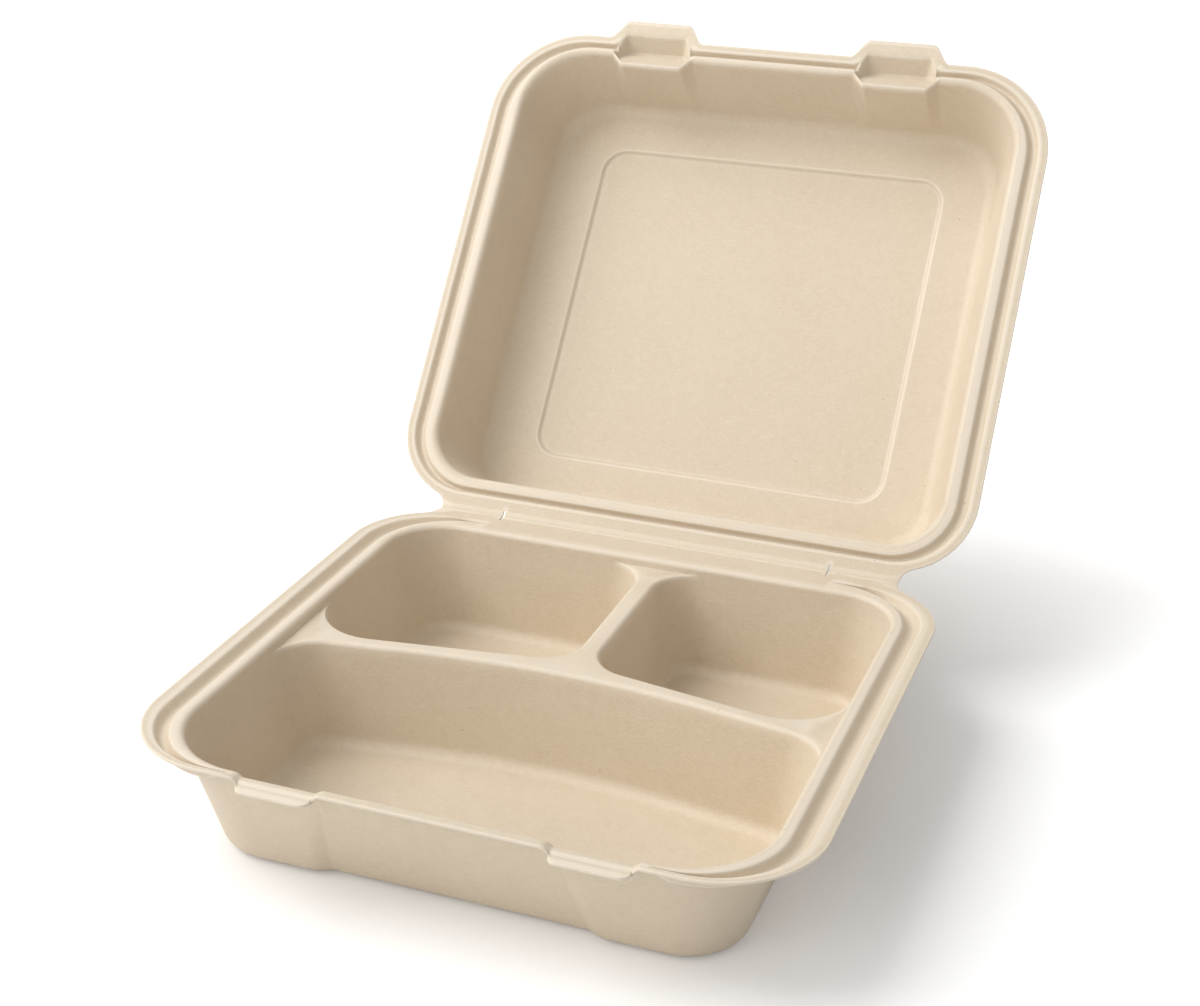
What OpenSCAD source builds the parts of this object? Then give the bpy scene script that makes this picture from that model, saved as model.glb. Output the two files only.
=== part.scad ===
// Moulded-fibre clamshell food box, standing open as it is photographed.
// In life the tray and the lid are one moulding. They are divided here at the crease
// that joins them, so that the lid can swing.
// The origin is on the table, under the floor of the front compartment and midway between
// the sides. The front lip faces -Y.

/* [Tray rim] */
// Width of the tray across its lips
tray_w = 230; // [215:1:250]
// Depth of the tray from its front lip to its back lip
tray_d = 209; // [198:1:225]
// Distance from the front lip to the origin
origin_y = 60; // [45:1:75]
// Height of the rim above the table
rim_h = 43; // [36:1:55]
// Thickness of the tray's moulded wall
tray_wall = 1.1; // [0.8:0.1:1.5]
// Plan radius of the tray's front corners
tray_front_r = 35; // [32:1:42]
// Plan radius of the tray's back corners
tray_back_r = 32; // [29:1:36]
// Width of the rim from the side lip to the compartments
rim_side_w = 15.5; // [14:0.5:20]
// Width of the rim from the front lip to the front compartment
rim_front_w = 4.5; // [3.5:0.5:7]
// Width of the rim from the back lip to the back compartments
rim_back_w = 11.5; // [9:0.5:15]

/* [Tray groove] */
// Width of the flat lip outside the groove
lip_w = 4.5; // [2.5:0.1:5]
// Width of the groove inside the lip
groove_w = 7.5; // [6:0.1:9]
// Width of the groove's flat bottom
groove_bottom_w = 1; // [0.5:0.1:2]
// Depth of the groove below the rim
groove_h = 2.8; // [1.5:0.1:4]
// How far the groove closes past the lip at the front and the back
groove_fade = 1.2; // [1:0.1:2]
// Plan radius of the groove's inner edge
groove_inner_r = 30; // [24:1:32]

/* [Compartments] */
// Drop from the rim to the flat top of the dividers
land_drop = 3.5; // [2.5:0.5:6]
// Distance from the front lip to the cross divider, at the side walls
divider_side_y = 95; // [88:1:102]
// Distance from the front lip to the point where the divider's two halves would meet
divider_mid_y = 110.5; // [106:0.5:116]
// Radius of the cross divider's arch
arch_r = 350; // [200:10:450]
// Width of the top of the cross divider
divider_w = 6.2; // [5:0.1:9]
// Width of the top of the divider between the back compartments
back_divider_w = 7.5; // [5:0.1:10]
// Offset of the divider between the back compartments from the middle
back_divider_x = 3.5; // [-6:0.5:6]
// Radius between the compartment walls and their floors
floor_r = 6; // [5:0.5:10]
// Radius along the top edges of the compartments
edge_r = 1.6; // [1:0.1:2.2]
// Plan radius of the front corners of the front compartment
front_corner_r = 30; // [26:1:34]
// Plan radius of the outer back corners of the back compartments
back_corner_r = 22; // [18:1:26]
// Plan radius of the front compartment's corners against the divider
divider_front_r = 18; // [15:1:22]
// Plan radius of the back compartments' outer corners against the divider
divider_back_r = 23; // [18:1:26]
// Plan radius of the back compartments' corners at the middle
divider_mid_r = 15; // [13:1:20]

/* [Wall slopes] */
// Slope of the side walls from upright, in degrees
side_slope = 14; // [10:0.5:16]
// Slope of the front wall at its two ends, in degrees
front_slope = 19; // [14:0.5:20]
// Slope of the front wall's set-back middle, in degrees
middle_slope = 22.5; // [21:0.5:24]
// Slope of the back wall, in degrees
back_slope = 8; // [6:0.5:10]
// Slope of the divider walls, in degrees
divider_slope = 8; // [6:0.5:10]
// Distance from the middle to the end of the front wall's set-back middle, at the rim
step_x = 40; // [34:1:48]
// Slope of the two steps beside the set-back middle, in degrees
step_slope = 11; // [6:1:14]

/* [Locking tabs] */
// Distance from the middle to the centre of each locking tab
tab_x = 52; // [44:1:58]
// Width of each tray tab
tab_w = 26; // [20:1:30]
// How far each tray tab stands out from the front lip
tab_reach = 3.5; // [2:0.5:5]
// Drop of the rim at the tray tabs
tab_notch_h = 1.5; // [1:0.1:2]
// Further drop from the rim to the tab's plate
tab_step_h = 0.8; // [0.5:0.1:0.9]
// Width of each lid pocket at the rim
pocket_w = 35; // [31:1:40]
// Depth of each lid pocket, from the inner crest to the outer plate
pocket_d = 14.5; // [12:0.5:17]
// Height of each lid pocket
pocket_h = 6.5; // [4:0.5:8]
// How far each pocket's outer plate stands out from the lid's lip
plate_reach = 8; // [6:0.5:10]
// How far each pocket's outer plate reaches beyond the pocket itself
plate_w = 6.5; // [4:0.5:8]

/* [Crease] */
// Distance from the tray's back lip to the crease
crease_reach = 4; // [3:0.5:6]
// Length of the crease
crease_w = 188; // [150:1:196]
// Distance from the middle to each slit across the crease
slit_x = 67; // [40:1:72]
// Width of each slit
slit_w = 0.8; // [0.5:0.1:1.5]
// Thickness of the pressed fibre at the crease
crease_t = 0.6; // [0.4:0.1:0.7]
// Width of the pressed fibre beside the crease, on each half
crease_fold_w = 1.2; // [0.8:0.1:2.5]
// Clearance of each half from the crease line
crease_gap = 0.25; // [0.2:0.05:0.4]

/* [Lid] */
// How far the lid stands over the tray at each side
lid_over = 3; // [1:0.5:4]
// Depth of the lid's hollow
lid_h = 33; // [26:1:36]
// Thickness of the lid's moulded wall
lid_wall = 0.8; // [0.7:0.1:1.2]
// Clearance between the two rims when the box is shut
rim_gap = 0.3; // [0.2:0.05:0.5]
// Angle to which the lid stands open, in degrees
lid_open = 128; // [100:1:170]
// Plan radius of the lid's corners at the crease
lid_back_r = 30; // [28:1:34]
// Width of the lid's rim at the sides
lid_side_w = 13; // [11.5:0.5:16]
// Width of the lid's rim at the front
lid_front_w = 8.5; // [8:0.5:11]
// Width of the lid's rim at the crease
lid_back_w = 10; // [9:0.5:12]
// Width of the flat lip outside the lid's groove
lid_lip_w = 3.2; // [2:0.1:3.4]
// Width of the lid's groove at the sides
lid_groove_w = 5.6; // [4:0.1:6]
// Width of the lid's groove at the front and at the crease
lid_groove_end_w = 2.8; // [2:0.1:3]
// Depth of the lid's groove
lid_groove_h = 2.2; // [1:0.1:2.6]
// Slope of the lid's side walls, in degrees
lid_side_slope = 17; // [12:1:20]
// Slope of the lid's front wall, in degrees
lid_front_slope = 15; // [12:1:18]
// Slope of the lid's wall at the crease, in degrees
lid_back_slope = 8; // [6:1:12]
// Radius between the lid's walls and its top
lid_floor_r = 6; // [5:0.5:10]
// Plan radius of the lid's hollow at its front corners
lid_hollow_front_r = 27; // [24:1:30]
// Plan radius of the lid's hollow at the crease
lid_hollow_back_r = 21; // [18:1:24]

/* [Lid panel] */
// Width of the raised square on the lid
panel_w = 150; // [110:1:154]
// Length of the raised square on the lid
panel_d = 141; // [110:1:145]
// Distance from the crease to the raised square
panel_y = 36; // [33:1:38]
// Height of the raised square
panel_h = 1; // [0.5:0.1:1.5]
// Width of the slope around the raised square
panel_slope_w = 1.4; // [1:0.1:3]
// Corner radius of the raised square
panel_r = 11; // [6:1:16]

/* [Hidden] */
// Steps in each rounded corner
steps = 8;
// Share of an edge's inward shift that its corners' radii lose on the tray
tray_cone = 0.9;
// Share of an edge's inward shift that its corners' radii lose on the lid
lid_cone = 0.5;
// Smallest radius that a corner narrows to
least_r = 2;
// Radius of a corner that stays sharp
sharp_r = 0.5;
// Angles at which the floor radius is stepped
floor_angles = [90, 72, 54, 36, 18, 0];
// Shares of the edge radius at which the top edge is stepped
edge_shares = [0, 0.5, 0.85, 1];
// Small overlap that joins or clears neighbouring cuts
lap = 0.05;
// How far back the front wall's end blocks reach into the compartment
block_d = 60;
// How far the end blocks stay inside the side walls
block_inset = 0.2;
// Colours of the two halves
tray_colour = [0.83, 0.76, 0.66];
lid_colour = [0.85, 0.79, 0.70];

front_y = -origin_y;
back_y = tray_d - origin_y;
crease_y = back_y + crease_reach;
land_z = rim_h - land_drop;
floor_z = tray_wall;
hollow_x = tray_w / 2 - rim_side_w;
hollow_front_y = front_y + rim_front_w;
hollow_back_y = back_y - rim_back_w;
mid_y = front_y + divider_mid_y;
side_y = front_y + divider_side_y;
arch_fall = (mid_y - side_y) / hollow_x;
lid_w = tray_w + 2 * lid_over;
lid_far_y = crease_reach + tray_d;
lid_top = -rim_gap;
lid_floor = lid_top - lid_h;

// Plan geometry: polygons run anticlockwise, and an edge is named by the point that it starts from

function unit(v) = v / norm(v);
function cross_of(a, b) = a[0] * b[1] - a[1] * b[0];
function before(list, i) = list[(i + len(list) - 1) % len(list)];
function after(list, i) = list[(i + 1) % len(list)];
function edge_in(p, i) = unit(p[i] - before(p, i));
function edge_out(p, i) = unit(after(p, i) - p[i]);

// Moves each edge inwards by its own distance
function moved(p, shifts) = [
    for (i = [0 : len(p) - 1])
        let (a = edge_in(p, i), b = edge_out(p, i))
            p[i] + (before(shifts, i) * b - shifts[i] * a) / cross_of(a, b)
];

// The arc that rounds one corner
function corner(p, i, r) =
    let (
        a = edge_in(p, i),
        b = edge_out(p, i),
        turn = atan2(cross_of(a, b), a * b),
        centre = p[i] - a * r * tan(turn / 2) + [-a[1], a[0]] * r
    )
    [
        for (k = [0 : steps])
            let (s = turn * k / steps)
                centre + r * [a[1] * cos(s) + a[0] * sin(s), -a[0] * cos(s) + a[1] * sin(s)]
    ];

function rounded(p, radii) = [for (i = [0 : len(p) - 1]) each corner(p, i, radii[i])];

// The rounded outline at one height, with its edges moved in and its corners narrowed to suit
function ring(p, radii, shifts, cone, z) =
    let (
        r = [
            for (i = [0 : len(p) - 1])
                max(least_r, radii[i] - cone * (before(shifts, i) + shifts[i]) / 2)
        ]
    )
    [for (q = rounded(moved(p, shifts), r)) [q[0], q[1], z]];

// One solid slice between two rings
module slice(low, high) {
    n = len(low);
    hull() polyhedron(
        points = concat(low, high),
        faces = concat(
            [[for (i = [0 : n - 1]) i]],
            [[for (i = [0 : n - 1]) 2 * n - 1 - i]],
            [for (i = [0 : n - 1]) [i, n + i, n + (i + 1) % n, (i + 1) % n]]
        )
    );
}

module stack(rings) {
    for (i = [0 : len(rings) - 2]) slice(rings[i], rings[i + 1]);
}

// How far a wall lies inside its outline at a height. A wall is [slope, height of its top].
// The skin is 0 on the face that holds food, and the wall's thickness on the outer face.
function wall_shift(wall, z, skin, bottom_z, bottom_r) =
    let (
        slope = wall[0],
        centre_z = bottom_z + bottom_r,
        centre = (wall[1] - centre_z) * tan(slope) + bottom_r / cos(slope),
        bend = bottom_r + skin,
        drop = centre_z - z
    )
    drop > bend * sin(slope)
        ? centre - sqrt(max(0, bend * bend - drop * drop))
        : (wall[1] - z) * tan(slope) - skin / cos(slope);

// The extra width that the rounded top edge gives a hollow
function edge_flare(wall, z) =
    let (rise = min(edge_r, max(0, z - wall[1] + edge_r)))
        edge_r - sqrt(edge_r * edge_r - rise * rise);

function hollow_ring(p, radii, walls, cone, z, skin, bottom_z, bottom_r) =
    ring(p, radii, [
        for (w = walls)
            wall_shift(w, z, skin, bottom_z, bottom_r) - (skin > 0 ? 0 : edge_flare(w, z))
    ], cone, z);

// A hollow with a rounded floor and a rounded top edge, or the skin around it
module hollow(p, radii, walls, cone, top_z, bottom_z, bottom_r, skin = 0) {
    floor_levels = [for (a = floor_angles) bottom_z + bottom_r - (bottom_r + skin) * sin(a)];
    top_levels = skin > 0 ? [top_z] : [for (s = edge_shares) top_z - edge_r * (1 - s)];
    stack([
        for (z = concat(floor_levels, top_levels))
            hollow_ring(p, radii, walls, cone, z, skin, bottom_z, bottom_r)
    ]);
}

// A flat sheet with a rounded outline
module sheet(p, radii, low, high) {
    translate([0, 0, low]) linear_extrude(high - low) polygon(rounded(p, radii));
}

// Tray

side_wall = [side_slope, rim_h];
middle_wall = [middle_slope, rim_h];
front_wall = [front_slope, rim_h];
back_wall = [back_slope, rim_h];
step_wall = [step_slope, rim_h];
upright_wall = [0, rim_h];
divider_wall = [divider_slope, land_z];

tray_outline = [
    [-tray_w / 2, front_y], [tray_w / 2, front_y], [tray_w / 2, back_y], [-tray_w / 2, back_y]
];
tray_radii = [tray_front_r, tray_front_r, tray_back_r, tray_back_r];

mouth_outline = [
    [-hollow_x, hollow_front_y], [hollow_x, hollow_front_y],
    [hollow_x, hollow_back_y], [-hollow_x, hollow_back_y]
];
mouth_radii = [front_corner_r, front_corner_r, back_corner_r, back_corner_r];
mouth_walls = [front_wall, side_wall, back_wall, side_wall];

front_outline = [
    [-hollow_x, hollow_front_y], [hollow_x, hollow_front_y],
    [hollow_x, side_y], [0, mid_y], [-hollow_x, side_y]
];
front_radii = [front_corner_r, front_corner_r, divider_front_r, arch_r, divider_front_r];
front_walls = [middle_wall, side_wall, divider_wall, divider_wall, side_wall];

// Front edge of the back compartments, which follows the arch
function back_edge_y(x) = mid_y + divider_w - arch_fall * abs(x);

left_x = back_divider_x - back_divider_w / 2;
left_outline = [
    [-hollow_x, back_edge_y(hollow_x)], [left_x, back_edge_y(left_x)],
    [left_x, hollow_back_y], [-hollow_x, hollow_back_y]
];
left_radii = [divider_back_r, divider_mid_r, divider_mid_r, back_corner_r];
left_walls = [divider_wall, divider_wall, back_wall, side_wall];

right_x = back_divider_x + back_divider_w / 2;
right_outline = [
    [right_x, back_edge_y(right_x)], [hollow_x, back_edge_y(hollow_x)],
    [hollow_x, hollow_back_y], [right_x, hollow_back_y]
];
right_radii = [divider_mid_r, divider_back_r, back_corner_r, divider_mid_r];
right_walls = [divider_wall, side_wall, back_wall, divider_wall];

module tray_hollow(p, radii, walls, skin) {
    top = skin > 0 ? land_z - skin / 2 : land_z;
    hollow(p, radii, walls, tray_cone, top, floor_z, floor_r, skin);
}

// The end of the front compartment that stands forward of the set-back middle
module front_block(side, skin) {
    inner_y = hollow_front_y + block_d;
    outer_x = hollow_x - block_inset;
    block = [
        [-outer_x, hollow_front_y], [-step_x, hollow_front_y], [-step_x, inner_y], [-outer_x, inner_y]
    ];
    mirror([side > 0 ? 1 : 0, 0, 0])
        tray_hollow(block, [front_corner_r, floor_r, sharp_r, sharp_r],
            [front_wall, step_wall, upright_wall, side_wall], skin);
}

module compartments(skin) {
    tray_hollow(front_outline, front_radii, front_walls, skin);
    front_block(-1, skin);
    front_block(1, skin);
    tray_hollow(left_outline, left_radii, left_walls, skin);
    tray_hollow(right_outline, right_radii, right_walls, skin);
}

// The shared mouth above the dividers, or the skin around it
module mouth(skin) {
    low = land_z - skin;
    levels = skin > 0
        ? [low, rim_h - skin / 2]
        : concat([low], [for (s = edge_shares) rim_h - edge_r * (1 - s)], [rim_h + lap]);
    stack([
        for (z = levels)
            hollow_ring(mouth_outline, mouth_radii, mouth_walls, tray_cone, min(z, rim_h), skin,
                floor_z, floor_r) + [for (i = [0 : 4 * steps + 3]) [0, 0, max(0, z - rim_h)]]
    ]);
}

// A groove pressed into a rim, or the skin under it.
// Outer and inner are each edge's distance inside the outline at the rim. The groove closes
// before it reaches an edge whose inner line lies outside its outer line.
module groove(p, outer_r, inner_r, outer, inner, top, depth, bottom_w, skin) {
    closed = [for (i = [0 : 3]) inner[i] < outer[i]];
    spread = [for (i = [0 : 3]) closed[i] ? bottom_w / 4 : (inner[i] - outer[i] - bottom_w) / 2];
    side = [for (i = [0 : 3]) closed[i] ? 0 : skin * tan(atan2(depth, spread[i]) / 2)];
    start = skin > 0 ? top - skin : top + lap;
    end = top - depth - skin;
    difference() {
        stack([
            ring(p, outer_r, outer - side, 1, start),
            ring(p, outer_r, outer + spread - side, 1, end)
        ]);
        stack([
            ring(p, inner_r, inner + side, 0, start + lap),
            ring(p, inner_r, inner - spread + side, 0, end - lap)
        ]);
    }
}

module tray_groove(skin) {
    inner_side = lip_w + groove_w;
    inner_end = lip_w - groove_fade + groove_bottom_w;
    groove(tray_outline, tray_radii, [for (i = [0 : 3]) groove_inner_r], [lip_w, lip_w, lip_w, lip_w],
        [inner_end, inner_side, inner_end, inner_side], rim_h, groove_h, groove_bottom_w, skin);
}

// Half of the hinge strip, from under a rim to the crease, in a plan where the crease is y = 0.
// Its ends are arcs that run into the rim's rounded corners.
module hinge_strip(rim_w, corner_r, wall) {
    corner_x = rim_w / 2 - corner_r;
    corner_y = crease_reach + corner_r;
    run = crease_w / 2 - corner_x;
    neck_r = (run * run + corner_y * corner_y - corner_r * corner_r) / (2 * (corner_r - run));
    neck_x = crease_w / 2 + neck_r;
    meet_angle = atan2(corner_y, corner_x - neck_x);
    neck = [
        for (k = [0 : steps])
            let (a = 180 + (meet_angle - 180) * k / steps)
                [neck_x + neck_r * cos(a), max(crease_gap, neck_r * sin(a))]
    ];
    root = neck[steps] + [-lip_w, lip_w];
    half = concat(neck, [root]);
    difference() {
        linear_extrude(wall)
            polygon(concat(half, [for (i = [len(half) - 1 : -1 : 0]) [-half[i][0], half[i][1]]]));
        translate([-crease_w, 0, crease_t])
            cube([2 * crease_w, crease_fold_w, wall]);
        for (s = [-1, 1])
            translate([s * slit_x - slit_w / 2, 0, -lap]) cube([slit_w, crease_reach, wall + 2 * lap]);
    }
}

module tray_tab(x) {
    plate_top = rim_h - tab_notch_h - tab_step_h;
    plate_in = front_y + rim_front_w / 2;
    plate = [
        [x - tab_w / 2, front_y - tab_reach], [x + tab_w / 2, front_y - tab_reach],
        [x + tab_w / 2, plate_in], [x - tab_w / 2, plate_in]
    ];
    sheet(plate, [tab_reach, tab_reach, sharp_r, sharp_r], plate_top - tray_wall, plate_top);
    translate([x - tab_w / 2 - tray_wall, front_y, rim_h - tab_notch_h - tray_wall])
        cube([tab_w + 2 * tray_wall, rim_front_w, tray_wall]);
}

module tray() {
    color(tray_colour) difference() {
        union() {
            sheet(tray_outline, tray_radii, rim_h - tray_wall, rim_h);
            tray_groove(tray_wall);
            mouth(tray_wall + lap);
            compartments(tray_wall);
            for (s = [-1, 1]) tray_tab(s * tab_x);
            translate([0, crease_y, rim_h]) mirror([0, 0, 1]) mirror([0, 1, 0])
                hinge_strip(tray_w, tray_back_r, tray_wall);
        }
        tray_groove(0);
        mouth(0);
        compartments(0);
        for (s = [-1, 1])
            translate([s * tab_x - tab_w / 2, front_y - lap, rim_h - tab_notch_h])
                cube([tab_w, rim_front_w + edge_r, tab_notch_h + lap]);
    }
}

// Lid, drawn as a dish that opens upwards with its crease on the X axis, and then swung into place

lid_outline = [
    [-lid_w / 2, crease_reach], [lid_w / 2, crease_reach], [lid_w / 2, lid_far_y], [-lid_w / 2, lid_far_y]
];
lid_front_r = tray_front_r + lid_over;
lid_radii = [lid_back_r, lid_back_r, lid_front_r, lid_front_r];
lid_mouth = moved(lid_outline, [lid_back_w, lid_side_w, lid_front_w, lid_side_w]);
lid_mouth_radii = [lid_hollow_back_r, lid_hollow_back_r, lid_hollow_front_r, lid_hollow_front_r];
lid_walls = [
    [lid_back_slope, lid_top], [lid_side_slope, lid_top], [lid_front_slope, lid_top], [lid_side_slope, lid_top]
];

module lid_hollow(skin) {
    top = skin > 0 ? lid_top - skin / 2 : lid_top;
    hollow(lid_mouth, lid_mouth_radii, lid_walls, lid_cone, top, lid_floor, lid_floor_r, skin);
}

module lid_groove(skin) {
    lip = [lid_lip_w, lid_lip_w, lid_lip_w, lid_lip_w];
    widths = [lid_groove_end_w, lid_groove_w, lid_groove_end_w, lid_groove_w];
    groove(lid_outline, lid_radii, [for (r = lid_radii) r - lid_lip_w - lid_groove_end_w], lip, lip + widths,
        lid_top, lid_groove_h, lid_groove_end_w / 4, skin);
}

module lid_panel(skin) {
    panel = [
        [-panel_w / 2, panel_y], [panel_w / 2, panel_y],
        [panel_w / 2, panel_y + panel_d], [-panel_w / 2, panel_y + panel_d]
    ];
    spread = skin * tan(atan2(panel_h, panel_slope_w) / 2);
    radii = [panel_r, panel_r, panel_r, panel_r];
    slope = [panel_slope_w, panel_slope_w, panel_slope_w, panel_slope_w];
    grown = [spread, spread, spread, spread];
    stack([
        ring(panel, radii, slope - grown, 1, lid_floor - panel_h - skin),
        ring(panel, radii, -grown, 1, lid_floor - skin + (skin > 0 ? lap : 0)),
        ring(panel, radii, -grown, 1, lid_floor + lap)
    ]);
}

pocket_y = lid_far_y + plate_reach - plate_w - pocket_d;

// The three-sided hollow that shuts over a tray tab, or the skin around it
module pocket(x, skin) {
    crest = pocket_w / 2 + skin;
    root = pocket_w / 2 - plate_w / 2 + skin;
    deep = root - pocket_h / 2;
    deep_y = pocket_y + pocket_d - pocket_h * 0.9;
    top = skin > 0 ? lid_top : lid_top + lap;
    hull() {
        translate([x - crest, pocket_y - skin, top - lap]) cube([2 * crest, lap, lap]);
        translate([x - root, pocket_y + pocket_d + skin - lap, top - lap]) cube([2 * root, lap, lap]);
        translate([x - deep, deep_y, lid_top - pocket_h - skin]) cube([2 * deep, skin + lap, lap]);
    }
}

module pocket_plate(x) {
    root = pocket_w / 2;
    tip = root - plate_w / 2;
    plate = [
        [x - root - plate_w / 2, lid_far_y - lid_lip_w], [x + root + plate_w / 2, lid_far_y - lid_lip_w],
        [x + tip, lid_far_y + plate_reach], [x - tip, lid_far_y + plate_reach]
    ];
    sheet(plate, [sharp_r, sharp_r, plate_w / 2, plate_w / 2], lid_top - lid_wall, lid_top);
}

module lid_dish() {
    difference() {
        union() {
            difference() {
                union() {
                    sheet(lid_outline, lid_radii, lid_top - lid_wall, lid_top);
                    lid_groove(lid_wall);
                    lid_hollow(lid_wall);
                    lid_panel(lid_wall);
                    for (s = [-1, 1]) pocket_plate(s * tab_x);
                    translate([0, 0, lid_top]) mirror([0, 0, 1])
                        hinge_strip(lid_w, lid_back_r, lid_wall);
                }
                lid_groove(0);
                lid_hollow(0);
                lid_panel(0);
            }
            for (s = [-1, 1]) pocket(s * tab_x, lid_wall);
        }
        for (s = [-1, 1]) pocket(s * tab_x, 0);
    }
}

module lid() {
    color(lid_colour) translate([0, crease_y, rim_h]) rotate([180 - lid_open, 0, 0]) lid_dish();
}

tray();
lid();
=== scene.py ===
"""Looks of a hinged takeaway food container, pressed in one sheet of moulded plant fibre.

The container stands open. The tray holds three compartments, the lid leans back from the crease
behind it, and both are dressed here as thin pressed sheets with soft folds.
Sizes are in millimetres until a mesh is made. Blender's own values are in metres.
"""

import logging
import math
from dataclasses import dataclass, field, replace
from enum import Enum
from typing import Callable, Iterable, Sequence

import bpy
import numpy as np
from mathutils import Matrix, Vector
from mathutils.geometry import delaunay_2d_cdt


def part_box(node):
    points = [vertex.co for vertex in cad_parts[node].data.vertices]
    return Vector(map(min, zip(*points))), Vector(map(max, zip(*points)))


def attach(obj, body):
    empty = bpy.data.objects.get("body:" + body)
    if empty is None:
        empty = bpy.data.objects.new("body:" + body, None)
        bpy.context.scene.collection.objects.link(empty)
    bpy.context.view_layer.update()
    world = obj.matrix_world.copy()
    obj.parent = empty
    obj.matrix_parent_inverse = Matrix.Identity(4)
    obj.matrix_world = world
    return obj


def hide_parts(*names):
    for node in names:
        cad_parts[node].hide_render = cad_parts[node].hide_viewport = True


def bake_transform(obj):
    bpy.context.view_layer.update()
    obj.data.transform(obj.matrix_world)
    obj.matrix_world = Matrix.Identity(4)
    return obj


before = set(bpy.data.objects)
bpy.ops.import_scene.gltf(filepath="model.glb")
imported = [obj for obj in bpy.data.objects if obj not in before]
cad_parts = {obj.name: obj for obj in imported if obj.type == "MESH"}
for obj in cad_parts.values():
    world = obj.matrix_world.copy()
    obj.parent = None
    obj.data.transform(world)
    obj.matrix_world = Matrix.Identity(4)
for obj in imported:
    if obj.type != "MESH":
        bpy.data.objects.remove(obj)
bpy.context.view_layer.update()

LOG = logging.getLogger("food_box")

MM = 0.001
SHARP_ANGLE = 38.0
WHITE = (1.0, 1.0, 1.0, 1.0)

Array = np.ndarray
Wall = tuple[float, float]


class Body(Enum):
    """The two halves that the crease joins."""

    TRAY = "tray"
    LID = "lid"


# Curves and masks


def smooth(value: Array | float) -> Array:
    """Returns an S-shaped ramp from 0 at 0 to 1 at 1."""
    t = np.clip(value, 0.0, 1.0)
    return t * t * (3.0 - 2.0 * t)


def plateau(value: Array, half: float, ramp: float) -> Array:
    """Gives a mask that is 1 about the middle and falls softly to 0.

    Args:
        value: Distances from the middle.
        half: Distance at which the mask starts to fall.
        ramp: Width of the fall.

    Returns:
        The mask at each distance.
    """
    return 1.0 - smooth((np.abs(value) - half) / ramp)


def bevelled(value: Array, half: float, ramp: float) -> Array:
    """Gives a mask that falls in a straight slope with softly rounded ends.

    Args:
        value: Distances from the middle.
        half: Distance at which the mask starts to fall.
        ramp: Width of the fall.

    Returns:
        The mask at each distance, from 1 about the middle to 0.
    """
    soft = 0.12
    t = (np.abs(value) - half) / ramp
    start = np.clip(t + soft, 0.0, 2.0 * soft) ** 2 / (4.0 * soft)
    middle = np.clip(t - soft, 0.0, 1.0 - 2.0 * soft)
    end = np.clip(t - 1.0 + soft, 0.0, 2.0 * soft)
    return 1.0 - start - middle - (end - end**2 / (4.0 * soft))


def near_tabs(x: Array, tab_x: float) -> Array:
    """Returns each point's distance from the middle of the nearer locking tab."""
    return np.abs(x) - tab_x


# Plan outlines


def turned(vector: Array) -> Array:
    """Returns plan vectors turned a quarter to the left."""
    return np.stack([-vector[..., 1], vector[..., 0]], axis=-1)


def crossed(a: Array, b: Array) -> float:
    """Returns the cross product of two plan vectors."""
    return float(a[0] * b[1] - a[1] * b[0])


def stations(low: float, high: float, step: float) -> list[float]:
    """Returns evenly spaced places from low to high, about a step apart."""
    return list(np.linspace(low, high, max(2, round((high - low) / step) + 1)))


@dataclass(frozen=True)
class Outline:
    """A convex plan shape whose rings all carry their points at the same stations.

    Attributes:
        points: Corners before rounding, anticlockwise.
        places: For each edge, the x or y places at which every ring has a point.
        cone: Share of an edge's inward shift that the corners' radii lose.
        arcs: Steps in each corner.
        leads: For each edge, steps between a corner and the nearest place.
    """

    points: tuple[tuple[float, float], ...]
    places: tuple[tuple[float, ...], ...]
    cone: float
    arcs: tuple[int, ...]
    leads: tuple[int, ...]
    least_radius: float = 2.0

    def moved(self, shifts: Sequence[float]) -> Array:
        """Returns the corners after each edge has moved inwards by its shift."""
        p = np.array(self.points, float)
        edges = np.roll(p, -1, axis=0) - p
        edges /= np.linalg.norm(edges, axis=1)[:, None]
        corners = []
        for i, point in enumerate(p):
            a, b = edges[i - 1], edges[i]
            corners.append(point + (shifts[i - 1] * b - shifts[i] * a) / crossed(a, b))
        return np.array(corners)

    def ring(self, shifts: Sequence[float], radii: Sequence[float]) -> Array:
        """Samples one ring.

        Args:
            shifts: Inward shift of each edge.
            radii: Corner radii before the shifts narrow them.

        Returns:
            The ring's plan points, with the same count for every ring of the outline.
        """
        p = self.moved(shifts)
        edges = np.roll(p, -1, axis=0) - p
        edges /= np.linalg.norm(edges, axis=1)[:, None]
        corners = []
        for i, point in enumerate(p):
            a, b = edges[i - 1], edges[i]
            radius = radii[i] - self.cone * (shifts[i - 1] + shifts[i]) / 2.0
            radius = max(self.least_radius, radius)
            turn = math.atan2(crossed(a, b), float(a @ b))
            centre = point - a * radius * math.tan(turn / 2.0) + turned(a) * radius
            s = turn * np.arange(self.arcs[i] + 1)[:, None] / self.arcs[i]
            corners.append(centre + radius * (-turned(a) * np.cos(s) + a * np.sin(s)))
        ring = []
        for i, arc in enumerate(corners):
            ring.append(arc)
            ring.append(self._edge(arc[-1], corners[(i + 1) % len(corners)][0], i))
        return np.concatenate(ring)

    def _edge(self, start: Array, end: Array, i: int) -> Array:
        """Returns the points of edge i between two corners."""
        run = end - start
        axis = 0 if abs(run[0]) > abs(run[1]) else 1
        shares = sorted((place - start[axis]) / run[axis] for place in self.places[i])
        lead = self.leads[i]
        into = [shares[0] * k / lead for k in range(1, lead)]
        out = [shares[-1] + (1.0 - shares[-1]) * k / lead for k in range(1, lead)]
        return start + np.array(into + shares + out)[:, None] * run


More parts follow.
